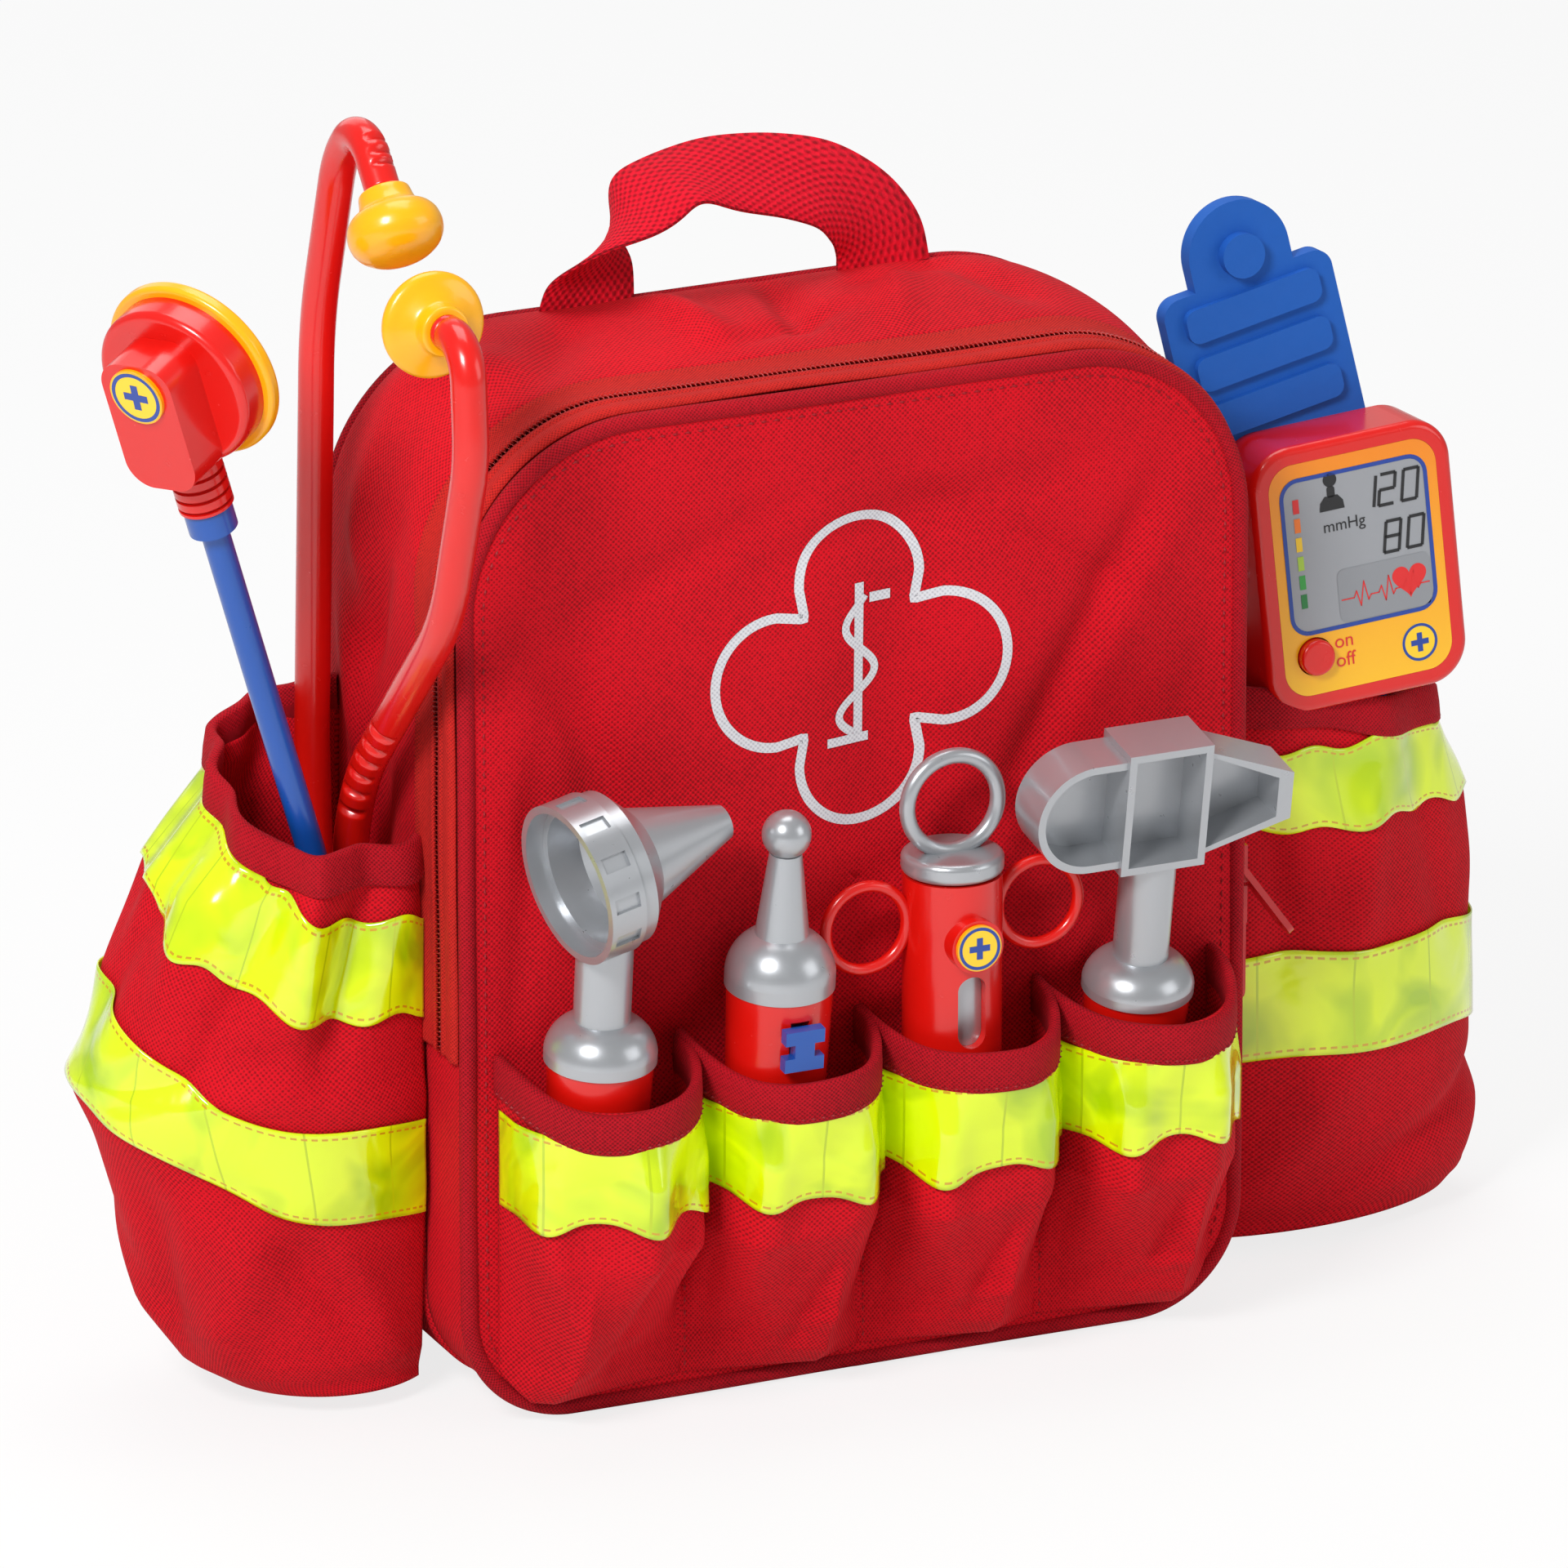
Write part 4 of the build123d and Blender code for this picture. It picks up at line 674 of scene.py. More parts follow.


# PVC film, calendered and dyed fluorescent: very glossy, buckled by the sewing, and brighter than
# a plain yellow from a faint painted glow of its own colour.
tape_width = 0.024
tape_material = glossy_tape("fluorescent_pvc", tape_width)
tape_thickness = 0.0004
for number, middle_x in enumerate(pouch_middles, 1):
    s = np.linspace(-0.985, 0.985, 150)[None]
    v = np.linspace(0, 1, 26)[:, None]
    pulled = 3.4 * pouch_gathers(s, number) * (1 - s ** 4)
    lower = 61.5 + 1.0 * np.sin(3.4 * s + 2 * number) - pulled
    h = lower + (85.6 - lower) * v
    points = pouch_surface(middle_x, s + 0 * v, h, 0.9, number)
    uv = np.stack(np.broadcast_arrays(s * 0.040 + 0.05 * number, v * tape_width), axis=-1)
    band = sheet_mesh(f"pouch_tape_{number}", points / 1000, uv, tape_material)
    thicken(band, tape_thickness, 1)
    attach(band, "flap")
    if number == 1:
        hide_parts("front_pouch_tape")

# POUCH BINDING
# Folded cloth binding along the mouths of the four pouches, sewn through near its lower edge. It
# rises to a pinched peak at each seam between two pouches.
strip_profile = [(-1.3, -4.6), (-0.9, -5.2), (0.9, -5.2), (1.3, -4.6), (1.45, 0), (1.3, 4.4),
                 (0.7, 5.2), (-0.7, 5.2), (-1.3, 4.4), (-1.45, 0)]
angle = np.linspace(-math.pi / 2, math.pi / 2, 46)
path_x = np.concatenate([m + 24.3 * np.sin(angle) for m in pouch_middles])
path_y = np.concatenate([-44.6 - 35.6 * np.cos(angle) ** 0.9] * len(pouch_middles))
path_z = np.concatenate([
    89.5 + 4.2 * np.abs(np.sin(angle)) ** 5 - 1.2 * np.cos(angle) + 0.7 * np.sin(3 * angle + i)
    for i in range(len(pouch_middles))
])
centre = np.stack([path_x, path_y, path_z], axis=-1)
way = np.gradient(centre, axis=0)
side = np.stack([way[:, 1], -way[:, 0], 0 * way[:, 0]], axis=-1)
side /= np.linalg.norm(side, axis=-1)[:, None]
pouch_binding = sweep_profile("pouch_binding_strip", centre, side,
                              np.tile([0.0, 0.0, 1.0], (len(centre), 1)),
                              strip_profile, binding_cloth)
front_side = side * np.sign(-side[:, 1:2] + 1e-9)
line = centre + front_side * 1.45 - [0, 0, 3.9]
stitches("pouch_binding_stitches", line, front_side, "flap", 2.6)
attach(pouch_binding, "flap")
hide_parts("front_pouch_binding")

# SIDE POCKETS
# Deep gathered pockets of oxford on both sides, with a folded floor, creased cloth, an elastic
# binding and two sewn tapes each. The left one sags forward under the stethoscope.


def pocket_surface(side, a, h, lift):
    """Point on a side pocket: a is the angle round it from its outermost line, h its height.

    It is half an oval whose reach and depth change with the height, with creases, and gathers
    below the rim.
    """
    if side < 0:
        heights = [5, 10, 23, 50, 88, 114, 139, 158, 170]
        reaches, middle_y = [46, 54, 61, 70, 81, 72, 60, 43, 41], 7.0
        folds = (
            (-50, 118, 96, 26, 4, -4.0), (-40, 126, 84, 22, 4, 4.0), (-30, 120, 100, 24, 4, -3.4),
            (-14, 130, 80, 22, 5, 3.0), (0, 124, 100, 26, 5, -3.0), (16, 132, 84, 24, 5, 2.4),
            (-40, 46, 60, 28, 6, -4.0), (-26, 34, 112, 28, 6, 4.4), (-8, 40, 100, 24, 6, -4.0),
            (8, 28, 66, 26, 6, 3.6), (-52, 30, 70, 22, 5, 3.0), (-46, 88, 20, 20, 6, 2.4),
            (-20, 92, -24, 24, 6, -2.6), (6, 84, 14, 24, 7, 2.2),
        )
        ripple = 1.5 * np.sin(a * 9 + 1.0) * np.clip((h - 112) / 20, 0, 1)
    else:
        heights = [5, 9, 34, 51, 81, 113, 133, 150]
        reaches, middle_y = [84, 88.5, 90, 89, 88, 84, 77, 75], 12.0
        folds = (
            (-54, 100, 94, 26, 4, -3.0), (-40, 104, 84, 24, 4, 3.0), (-24, 100, 96, 28, 5, -2.4),
            (-8, 106, 86, 22, 5, 2.2), (-50, 34, 70, 22, 6, 2.6), (-26, 26, 30, 26, 5, -3.4),
            (-6, 22, 40, 24, 5, 3.0), (16, 40, 84, 24, 6, -2.4),
        )
        ripple = 1.0 * np.sin(a * 10) * np.clip((h - 110) / 20, 0, 1)
    reach = np.interp(h, heights, reaches)
    half_depth = np.interp(h, [8, 14, 60, 130, 170], [28, 31, 35.5, 34, 32])
    low = np.clip((h - 6) / 20, 0, 1)
    swell = low * creases(a * 30, h, folds) + ripple + lift
    px = half_width + 0.38 * reach + (0.62 * reach + swell) * np.cos(a)
    py = middle_y + (half_depth + swell) * np.sin(a)
    return np.stack(np.broadcast_arrays(side * np.maximum(px, half_width - 0.2), py, h), axis=-1)


# Rim heights, then each tape's lower line at the same angles and its width.
pockets = (
    ("left", -1, (143.5, 143.5, 147, 155, 160, 165, 168), (
        ((52, 54, 66, 82, 88, 90, 90), 25), ((104, 108, 119, 132, 138, 142, 142), 26),
    )),
    ("right", 1, (150, 146, 138, 135, 135.5, 138, 140), (
        ((55, 56, 54, 51, 50, 50, 50), 28), ((117, 117.5, 115, 113, 112, 112, 112), 22),
    )),
)
rim_angles = (-2.2, -1.5, -0.9, -0.3, 0.3, 1.4, 2.2)
foot = 5.0
for name, side_sign, rim_heights, tapes in pockets:
    a_rim = np.linspace(-2.25, 2.25, 91)
    kernel = np.hanning(15) / np.hanning(15).sum()
    rim_line = np.pad(np.interp(a_rim, rim_angles, rim_heights), 7, mode="edge")
    rim_line = np.convolve(rim_line, kernel, mode="valid")
    v = np.linspace(0, 1, 110)[:, None]
    a = side_sign * np.linspace(-2.22, 2.22, 190)[None]
    h = foot + (np.interp(a, a_rim, rim_line) - foot) * v
    wall = pocket_surface(side_sign, a, h, 0.0)
    shrink = np.array([0.0, 0.4, 0.7, 0.9])[:, None, None]
    anchor = np.array([side_sign * 108.0, wall[0, :, 1].mean(), foot + 0.8])
    points = np.concatenate([anchor + (wall[0][None] - anchor) * shrink, wall])
    rows = np.concatenate([np.linspace(-0.03, -0.008, 4)[:, None], v * 0.15])
    uv = np.stack(np.broadcast_arrays(a * 0.045, rows), axis=-1)
    pocket = sheet_mesh(f"pocket_cloth_{name}", points / 1000, uv, bag_cloth)
    thicken(pocket, 0.0014, -1)
    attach(pocket, "bag")
    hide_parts(f"side_pocket_{name}")

    a = np.linspace(-2.2, 2.2, 120)
    rim = pocket_surface(side_sign, a, np.interp(a, a_rim, rim_line) - 1.0, -0.4)
    rim[:, 2] += 4.0 + 0.6 * np.sin(a * 7)
    out = np.stack([side_sign * np.cos(a), np.sin(a), 0 * a], axis=-1)
    lift_way = np.stack([-0.12 * out[:, 0], -0.12 * out[:, 1], np.ones(len(a))], axis=-1)
    binding = sweep_profile(f"pocket_binding_{name}", rim, out, lift_way,
                            [(px * 1.15, pz) for px, pz in strip_profile], binding_cloth)
    stitches(f"pocket_binding_stitches_{name}", rim + out * 1.75 - [0, 0, 3.6], out, "bag", 2.6)
    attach(binding, "bag")
    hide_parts(f"side_pocket_binding_{name}")

    for count, (lower_heights, width) in enumerate(tapes):
        a = side_sign * np.linspace(-2.19, 2.19, 260)[None]
        v = np.linspace(0, 1, 26)[:, None]
        lower = np.pad(np.interp(a[0], rim_angles, lower_heights), 20, mode="edge")
        lower = np.convolve(lower, np.ones(41) / 41, mode="valid")[None]
        lower = lower + 0.8 * np.sin(a * 6 + count) + (1.1 * np.sin(a * 15) if count else 0)
        upper = np.minimum(lower + width, np.interp(a, a_rim, rim_line) - 1.5)
        points = pocket_surface(side_sign, a, lower + (upper - lower) * v, 0.75)
        uv = np.stack(np.broadcast_arrays(a * 0.052, v * tape_width), axis=-1)
        band = sheet_mesh(f"pocket_tape_{name}_{count + 1}", points / 1000, uv, tape_material)
        thicken(band, tape_thickness, 1)
        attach(band, "bag")
        if count == 0:
            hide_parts(f"side_pocket_tapes_{name}")

# CARRY HANDLE
# Loop of ribbed webbing 26 mm wide, sewn into the back seam. It turns on edge over its left
# shoulder and lies broad side to the front down its right arm.
# Polypropylene yarn, woven on a narrow loom in heavy ribs: brighter than the bag's cloth.
webbing_cloth = woven("polypropylene_webbing", "#E00A28", "#960014", 0.0030, 1.0, (1, 1.4))
# Each key is a point of the webbing's middle line and the direction of its width.
keys = np.array([
    (-37.5, 38.5, 262.4, 12.9, 0.2, 0), (-36.5, 38.5, 270, 12.4, 2.5, 0),
    (-32, 38.5, 279, 6.0, 11, -1.0), (-22, 38.5, 288, -3.5, 11.5, 3.5),
    (-13, 38.5, 293, -1.5, 12.6, 2), (0, 38.5, 292, 0, 11.2, 6.5),
    (14, 38.5, 290, 1.5, 10.2, 8), (28, 38.5, 286, 4.5, 8.5, 8.5),
    (38, 38.5, 278, 9.5, 5.5, 6.5), (43, 38.5, 270, 12, 2, 3), (44, 38.5, 262.2, 12.9, 0.5, 0),
])
spots = np.linspace(0, len(keys) - 1, 120)
line = np.stack([np.interp(spots, np.arange(len(keys)), keys[:, i]) for i in range(6)], axis=-1)
kernel = np.hanning(19) / np.hanning(19).sum()
smooth = np.pad(line, ((9, 9), (0, 0)), mode="reflect", reflect_type="odd")
smooth = np.stack([np.convolve(smooth[:, i], kernel, mode="valid") for i in range(6)], axis=-1)
width_way = smooth[:, 3:] / np.linalg.norm(smooth[:, 3:], axis=-1)[:, None]
way = np.gradient(smooth[:, :3], axis=0)
flat_way = np.cross(width_way, way)
flat_way /= np.linalg.norm(flat_way, axis=-1)[:, None]
handle = sweep_profile("handle_webbing", smooth[:, :3], width_way, flat_way, [
    (-12.9, -0.5), (-6.4, -0.75), (0, -0.8), (6.4, -0.75), (12.9, -0.5), (13.1, 0),
    (12.9, 0.5), (6.4, 0.75), (0, 0.8), (-6.4, 0.75), (-12.9, 0.5), (-13.1, 0),
], webbing_cloth)
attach(handle, "handle")
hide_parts("carry_handle")

# BACK PANEL
# Padded back of the bag: oxford over foam, quilted by sewn channels 52 mm apart so that it puffs
# between them.
x, z = bag_path(4.6, 1.6)[:2]
share = (np.linspace(1, 0, 80) ** 0.9)[:, None]
back_x, back_z = x[None] * share, bag_middle + (z[None] - bag_middle) * share
edge = np.clip(1 - share ** 6, 0, 1)
spacing = 52
channels = np.minimum(np.abs((back_x + back_z * 0.6) % spacing - spacing / 2),
                      np.abs((back_x - back_z * 0.6) % spacing - spacing / 2))
puff = 2.3 * np.sqrt(np.clip(channels / 12, 0, 1)) * edge + 0.7 * edge
back_points = np.stack([back_x, 41.9 + puff, back_z], axis=-1)[:, :-1][:, ::-1] / 1000
back_cloth = sheet_mesh("back_panel_cloth", back_points, back_points[..., [0, 2]], bag_cloth, True)
thicken(back_cloth, cloth_thickness, -1)
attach(back_cloth, "bag")
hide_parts("back_panel")

# SHOULDER STRAPS
# Two padded straps, each a foam core in oxford with a folded binding along both edges, and below
# its ladder lock a length of flat webbing down to the bag's foot.


def arc_through(first, middle, last, count):
    """Points on the circle through three points of a plane, from its circumcentre."""
    (ax, ay), (bx, by), (cx, cy) = first, middle, last
    a, b, c = ax * ax + ay * ay, bx * bx + by * by, cx * cx + cy * cy
    d = 2 * (ax * (by - cy) + bx * (cy - ay) + cx * (ay - by))
    ux = (a * (by - cy) + b * (cy - ay) + c * (ay - by)) / d
    uy = (a * (cx - bx) + b * (ax - cx) + c * (bx - ax)) / d
    start, stop = math.atan2(ay - uy, ax - ux), math.atan2(cy - uy, cx - ux)
    turn = np.linspace(start, stop, count)
    radius = math.hypot(ax - ux, ay - uy)
    return np.stack([ux + radius * np.cos(turn), uy + radius * np.sin(turn)], axis=-1)


rows, half_strap, webbing_rows = 90, 18.9, 60
binding_profile = [(-1.9, -1.5), (0, -2.3), (1.6, -1.2), (1.6, 1.2), (0, 2.3), (-1.9, 1.5)]
webbing_profile = [(-9.9, -0.5), (-5, -0.7), (5, -0.7), (9.9, -0.5),
                   (9.9, 0.5), (5, 0.7), (-5, 0.7), (-9.9, 0.5)]
for name, strap_x in (("left", -44.0), ("right", 44.0)):
    inner = arc_through((45.4, 240.0), (67.1, 174.0), (45.4, 128.2), rows)
    outer = arc_through((46.2, 246.8), (74.0, 174.0), (52.0, 128.2), rows)
    middle, thick_way = (inner + outer) / 2, (outer - inner) / 2
    turn = np.linspace(0, 2 * math.pi, 44, endpoint=False)
    across = np.sign(np.cos(turn)) * np.abs(np.cos(turn)) ** 0.55
    height = np.sign(np.sin(turn)) * np.abs(np.sin(turn)) ** 0.75
    along = np.linspace(0, 1, rows)
    puff = 0.86 + 0.12 * np.sin(along * math.pi * 9) ** 2 - 0.1 * (np.abs(along - 0.5) > 0.47)
    strap_points = np.stack([
        strap_x + half_strap * across[None] * np.ones((rows, 1)),
        middle[:, :1] + thick_way[:, :1] * height[None] * puff[:, None],
        middle[:, 1:] + thick_way[:, 1:] * height[None] * puff[:, None],
    ], axis=-1)
    cap_first, cap_last = strap_points[0].mean(axis=0), strap_points[-1].mean(axis=0)
    shrink = np.array([0.0, 0.5, 0.85])[:, None, None]
    strap_points = np.concatenate([
        cap_first + (strap_points[0] - cap_first) * shrink, strap_points,
        cap_last + (strap_points[-1] - cap_last) * shrink[::-1],
    ]) / 1000
    uv = np.stack(np.broadcast_arrays(np.linspace(0, 0.13, len(strap_points))[:, None],
                                      np.linspace(0, 0.09, len(turn))[None]), axis=-1)
    strap = sheet_mesh(f"strap_pad_{name}", strap_points, uv, bag_cloth, True)
    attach(strap, "bag")
    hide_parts(f"shoulder_strap_{name}")
    out_way = thick_way / np.linalg.norm(thick_way, axis=-1)[:, None]
    for edge_name, edge_x in (("left", -18.2), ("right", 18.2)):
        line = np.column_stack([np.full(rows, strap_x + edge_x), middle])
        rim = sweep_profile(f"strap_binding_{name}_{edge_name}", line,
                            np.tile([1.0, 0, 0], (rows, 1)),
                            np.column_stack([np.zeros(rows), out_way]),
                            binding_profile, binding_cloth)
        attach(rim, "bag")
    webbing_z = np.linspace(107.6, 20.2, webbing_rows)
    line = np.column_stack([np.full(webbing_rows, strap_x), 45.95 + 0.25 * np.sin(webbing_z / 9),
                            webbing_z])
    tail = sweep_profile(f"strap_tail_{name}", line, np.tile([1.0, 0, 0], (webbing_rows, 1)),
                         np.tile(backward, (webbing_rows, 1)), webbing_profile, webbing_cloth)
    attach(tail, "bag")
    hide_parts(f"strap_webbing_{name}")

# STETHOSCOPE ARMS
# Two bowed tubes of moulded red plastic with a row of notches cut into one side, and soft yellow
# ear tips: a pressed ball on the back arm and a flared disc on the front one.


def rounded_line(points, radii, step=0.6):
    """Line through corner points of a plane, with an arc of its own radius in each corner.

    An arc's points lie on the chord between its two ends, pushed out from its middle.
    """
    points = np.array(points, dtype=float)
    line = [points[0]]
    for before, corner, after, radius in zip(points[:-2], points[1:-1], points[2:], radii):
        back_way, ahead = before - corner, after - corner
        back_way, ahead = back_way / np.linalg.norm(back_way), ahead / np.linalg.norm(ahead)
        half = math.acos(np.clip(back_way @ ahead, -1, 1)) / 2
        bisector = (back_way + ahead) / np.linalg.norm(back_way + ahead)
        middle = corner + bisector * radius / math.sin(half)
        first = corner + back_way * radius / math.tan(half)
        last = corner + ahead * radius / math.tan(half)
        share = np.linspace(0, 1, 24)[:, None]
        chord = first + (last - first) * share - middle
        line += list(middle + chord / np.linalg.norm(chord, axis=-1)[:, None] * radius)
    line.append(points[-1])
    line = np.array(line)
    run = np.concatenate([[0], np.cumsum(np.linalg.norm(np.diff(line, axis=0), axis=-1))])
    steps = np.linspace(0, run[-1], int(run[-1] / step))
    return np.stack([np.interp(steps, run, line[:, i]) for i in range(2)], axis=-1), steps


# Each arm: its corners (y, z), their radii, where its notches lie along it, and their side.
arms = (
    ("front",
     [(10.5, 93.0), (-2.0, 160.0), (-62.0, 222.0), (-78.0, 268.0), (-76.0, 298.0), (-63.5, 297.0)],
     [60.0, 60.0, 40.0, 10.0], (64, 71, 78, 85, 92, 99, 238, 241, 244), (-0.75, 0.66)),
    ("back",
     [(23.5, 93.0), (26.0, 165.0), (20.0, 275.0), (4.0, 322.0), (-10.0, 336.0), (-23.5, 321.4)],
     [120.0, 100.0, 30.0, 11.0], (88, 92, 96, 100, 254, 257, 260), (0.4, -0.9)),
)
# Each ear tip: its radius against its height along the arm's end.
tips = {
    "front": [(0, 0.3), (5.6, 0.3), (6.3, 0.8), (6.3, 3.2), (6.6, 4.6), (9.6, 6.4), (12.6, 7.6),
              (13.4, 8.8), (13.2, 10.2), (11.8, 11.4), (8.4, 12.4), (4, 12.9), (0, 13.0)],
    "back": [(0, 0.3), (5.9, 0.3), (6.5, 0.9), (6.9, 3.4), (7.6, 5.2), (10.2, 6.6), (11.6, 8.6),
             (12.1, 11.2), (11.7, 13.8), (10.2, 16.2), (7.6, 18.0), (4.2, 19.1), (0, 19.4)],
}
arm_x, arm_radius, notch_depth = -118.0, 4.5, 1.9
for name, points, radii, notches, (out_x, out_plane) in arms:
    line, run = rounded_line(points, radii)
    way = np.gradient(line, axis=0)
    way /= np.linalg.norm(way, axis=-1)[:, None]
    turn = np.linspace(0, 2 * math.pi, 40, endpoint=False)
    side_x, side_plane = np.cos(turn), np.sin(turn)
    facing_notch = np.clip(side_x * out_x + side_plane * out_plane, 0, 1)[None]
    dent = sum(np.exp(-((run - at) / (1.1 if at < 200 else 0.5)) ** 4) for at in notches)[:, None]
    radius = arm_radius - notch_depth * dent * np.clip(facing_notch * 1.9 - 1.0, 0, 1)
    normal = np.stack([-way[:, 1], way[:, 0]], axis=-1)
    arm_points = np.stack([
        arm_x + radius * side_x[None],
        line[:, :1] + radius * side_plane[None] * normal[:, :1],
        line[:, 1:] + radius * side_plane[None] * normal[:, 1:],
    ], axis=-1)
    ends = [np.broadcast_to(arm_points[i].mean(axis=0), arm_points[i].shape)[None]
            for i in (0, -1)]
    arm_points = np.concatenate([ends[0], arm_points, ends[1]]) / 1000
    uv = np.stack(np.broadcast_arrays(np.arange(len(arm_points))[:, None] * 0.0006,
                                      turn[None] * arm_radius / 1000), axis=-1)
    tube_piece = sheet_mesh(f"arm_tube_{name}", arm_points[:, ::-1], uv, red_plastic, True)
    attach(tube_piece, f"arm_{name}")
    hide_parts(f"stethoscope_arm_{name}")

    profile = np.array(tips[name])
    fine = np.linspace(0, len(profile) - 1, 80)
    inner = np.stack([np.interp(fine, np.arange(len(profile)), profile[:, i])
                      for i in range(2)], axis=-1)
    kernel = np.hanning(9) / np.hanning(9).sum()
    inner = np.pad(inner, ((4, 4), (0, 0)), mode="edge")
    inner = np.stack([np.convolve(inner[:, i], kernel, mode="valid") for i in range(2)], axis=-1)
    inner[[0, -1], 0] = 0
    turn = np.linspace(0, 2 * math.pi, 56, endpoint=False)
    tip_way = way[-1]
    tip_points = np.stack([
        arm_x + inner[:, :1] * np.cos(turn)[None],
        line[-1, 0] + inner[:, 1:] * tip_way[0] - inner[:, :1] * np.sin(turn)[None] * tip_way[1],
        line[-1, 1] + inner[:, 1:] * tip_way[1] + inner[:, :1] * np.sin(turn)[None] * tip_way[0],
    ], axis=-1) / 1000
    uv = np.stack(np.broadcast_arrays(inner[:, 1:] / 1000, turn[None] * 0.01), axis=-1)
    tip = sheet_mesh(f"ear_tip_skin_{name}", tip_points[:, ::-1], uv, yellow_plastic, True)
    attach(tip, f"arm_{name}")
    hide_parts(f"ear_tip_{name}")

# BADGES
# Round generic labels on the chest piece and the syringe, pad printed on the plastic: a yellow
# ground, a blue ring and a plain blue plus.
# Pad printing ink: thin, even and about as glossy as the plastic under it.
print_yellow = plastic("yellow_pad_ink", "#FFD21E", roughness=0.3)
print_blue = plastic("blue_pad_ink", "#123E9C", roughness=0.3)


def decal(name, polygons, plane, lift, material, body):
    """Flat printed shapes on a plane (origin, right, up, out), in millimetres."""
    origin, right_way, up_way, out_way = plane
    vertices, faces = [], []
    for polygon in polygons:
        faces.append(list(range(len(vertices), len(vertices) + len(polygon))))
        vertices += [(origin + right_way * px + up_way * py + out_way * lift) / 1000
                     for px, py in polygon]
    mesh = bpy.data.meshes.new(name)
    mesh.from_pydata([tuple(v) for v in vertices], [], faces)
    mesh.materials.append(material)
    piece = bpy.data.objects.new(name, mesh)
    bpy.context.collection.objects.link(piece)
    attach(piece, body)
    return piece


def disc(x, y, radius, count=40):
    """Round polygon."""
    return [(x + radius * math.cos(a), y + radius * math.sin(a))
            for a in np.linspace(0, 2 * math.pi, count, False)]


def block(x, y, width, height):
    """Upright rectangle about its middle."""
    return [(x - width / 2, y - height / 2), (x + width / 2, y - height / 2),
            (x + width / 2, y + height / 2), (x - width / 2, y + height / 2)]


def outline_strip(line, width):
    """Quads that follow a closed polygon as a stroke, half its width to each side."""
    line = np.array(line)
    way = np.roll(line, -1, axis=0) - np.roll(line, 1, axis=0)
    way /= np.hypot(way[:, 0], way[:, 1])[:, None]
    side = np.stack([way[:, 1], -way[:, 0]], axis=-1) * width / 2
    outer, inner = line + side, line - side
    corners = (outer, np.roll(outer, -1, axis=0), np.roll(inner, -1, axis=0), inner)
    return [[tuple(corner[i]) for corner in corners] for i in range(len(line))]


def badge(name, plane, radius, body):
    """Generic round badge: its parts are sized from its radius."""
    decal(f"{name}_ground", [disc(0, 0, radius * 0.98)], plane, 0.06, print_yellow, body)
    ring = outline_strip(disc(0, 0, radius * 0.88), radius * 0.14)
    decal(f"{name}_ring", ring, plane, 0.12, print_blue, body)
    plus = [block(0, 0, radius * 0.95, radius * 0.28)]
    plus += [block(0, radius * rise, radius * 0.28, radius * 0.34) for rise in (0.31, -0.31)]
    decal(f"{name}_plus", plus, plane, 0.12, print_blue, body)


def disc_plane(node_name, towards):
    """Plane on the outer face of a round badge node: out is the axis along which it is thinnest."""
    mesh = nodes[node_name].data
    points = np.empty(len(mesh.vertices) * 3)
    mesh.vertices.foreach_get("co", points)
    points = points.reshape(-1, 3) * 1000
    centre = (points.min(axis=0) + points.max(axis=0)) / 2
    axes = np.linalg.eigh(np.cov((points - centre).T))[1]
    out_way = axes[:, 0] * np.sign(axes[:, 0] @ np.array(towards))
    right_way = np.cross([0.0, 0.0, 1.0], out_way)
    right_way /= np.linalg.norm(right_way)
    up_way = np.cross(out_way, right_way)
    reach = ((points - centre) @ out_way).max()
    return [Vector(v) for v in (centre + out_way * reach, right_way, up_way, out_way)]


badge("chest_sign", disc_plane("chest_badge", (-0.857, -0.515, 0)), 7.4, "stethoscope")
badge("syringe_sign", disc_plane("syringe_badge", (0, -1, 0)), 5.9, "syringe")

# MONITOR DISPLAY
# Printed face of the toy monitor: a silver card with a dark border behind the window, readings in
# segment digits, colour steps, a trace with a heart, and the words beside the push button.
print_black = plastic("black_pad_ink", "#101014", roughness=0.35)
print_red = plastic("red_pad_ink", "#E01818", roughness=0.3)
print_grey = plastic("grey_pad_ink", "#8E9196", roughness=0.35)
lean, tilt_back = math.radians(4.0), math.radians(5.0)
case_up = Vector((-math.sin(lean), math.sin(tilt_back) * math.cos(lean),
                  math.cos(tilt_back) * math.cos(lean)))
case_right = Vector((math.cos(lean), 0, math.sin(lean) / math.cos(tilt_back))).normalized()
case_out = case_right.cross(case_up).normalized()
case_plane = [Vector((153.0, -3.5, 148.4)) + case_out * 20.0, case_right, case_up, case_out]


def graded(name, low, high, start, end, turn):
    """Card whose tone runs from low to high between two heights in metres.

    Turn leans those heights about the y axis.
    """
    material, output = new_material(name)
    place = add_node(material, "ShaderNodeTexCoord")
    moved = add_node(
        material, "ShaderNodeMapping", {"Rotation": (0, turn, 0)},
        {"Vector": place.outputs["Object"]},
    )
    parts = add_node(material, "ShaderNodeSeparateXYZ", links={"Vector": moved.outputs[0]})
    spread = add_node(
        material, "ShaderNodeMapRange", {"From Min": start, "From Max": end},
        {"Value": parts.outputs["Z"]},
    )
    ramp = add_node(material, "ShaderNodeValToRGB", links={"Fac": spread.outputs[0]})
    for element, shade in zip(ramp.color_ramp.elements, (low, high)):
        element.color = colour(shade)
    surface = add_node(
        material, "ShaderNodeBsdfPrincipled", {"Roughness": 0.22, "Coat Weight": 0.4},
        {"Base Color": ramp.outputs[0]},
    )
    material.node_tree.links.new(surface.outputs[0], output.inputs[0])
    return material


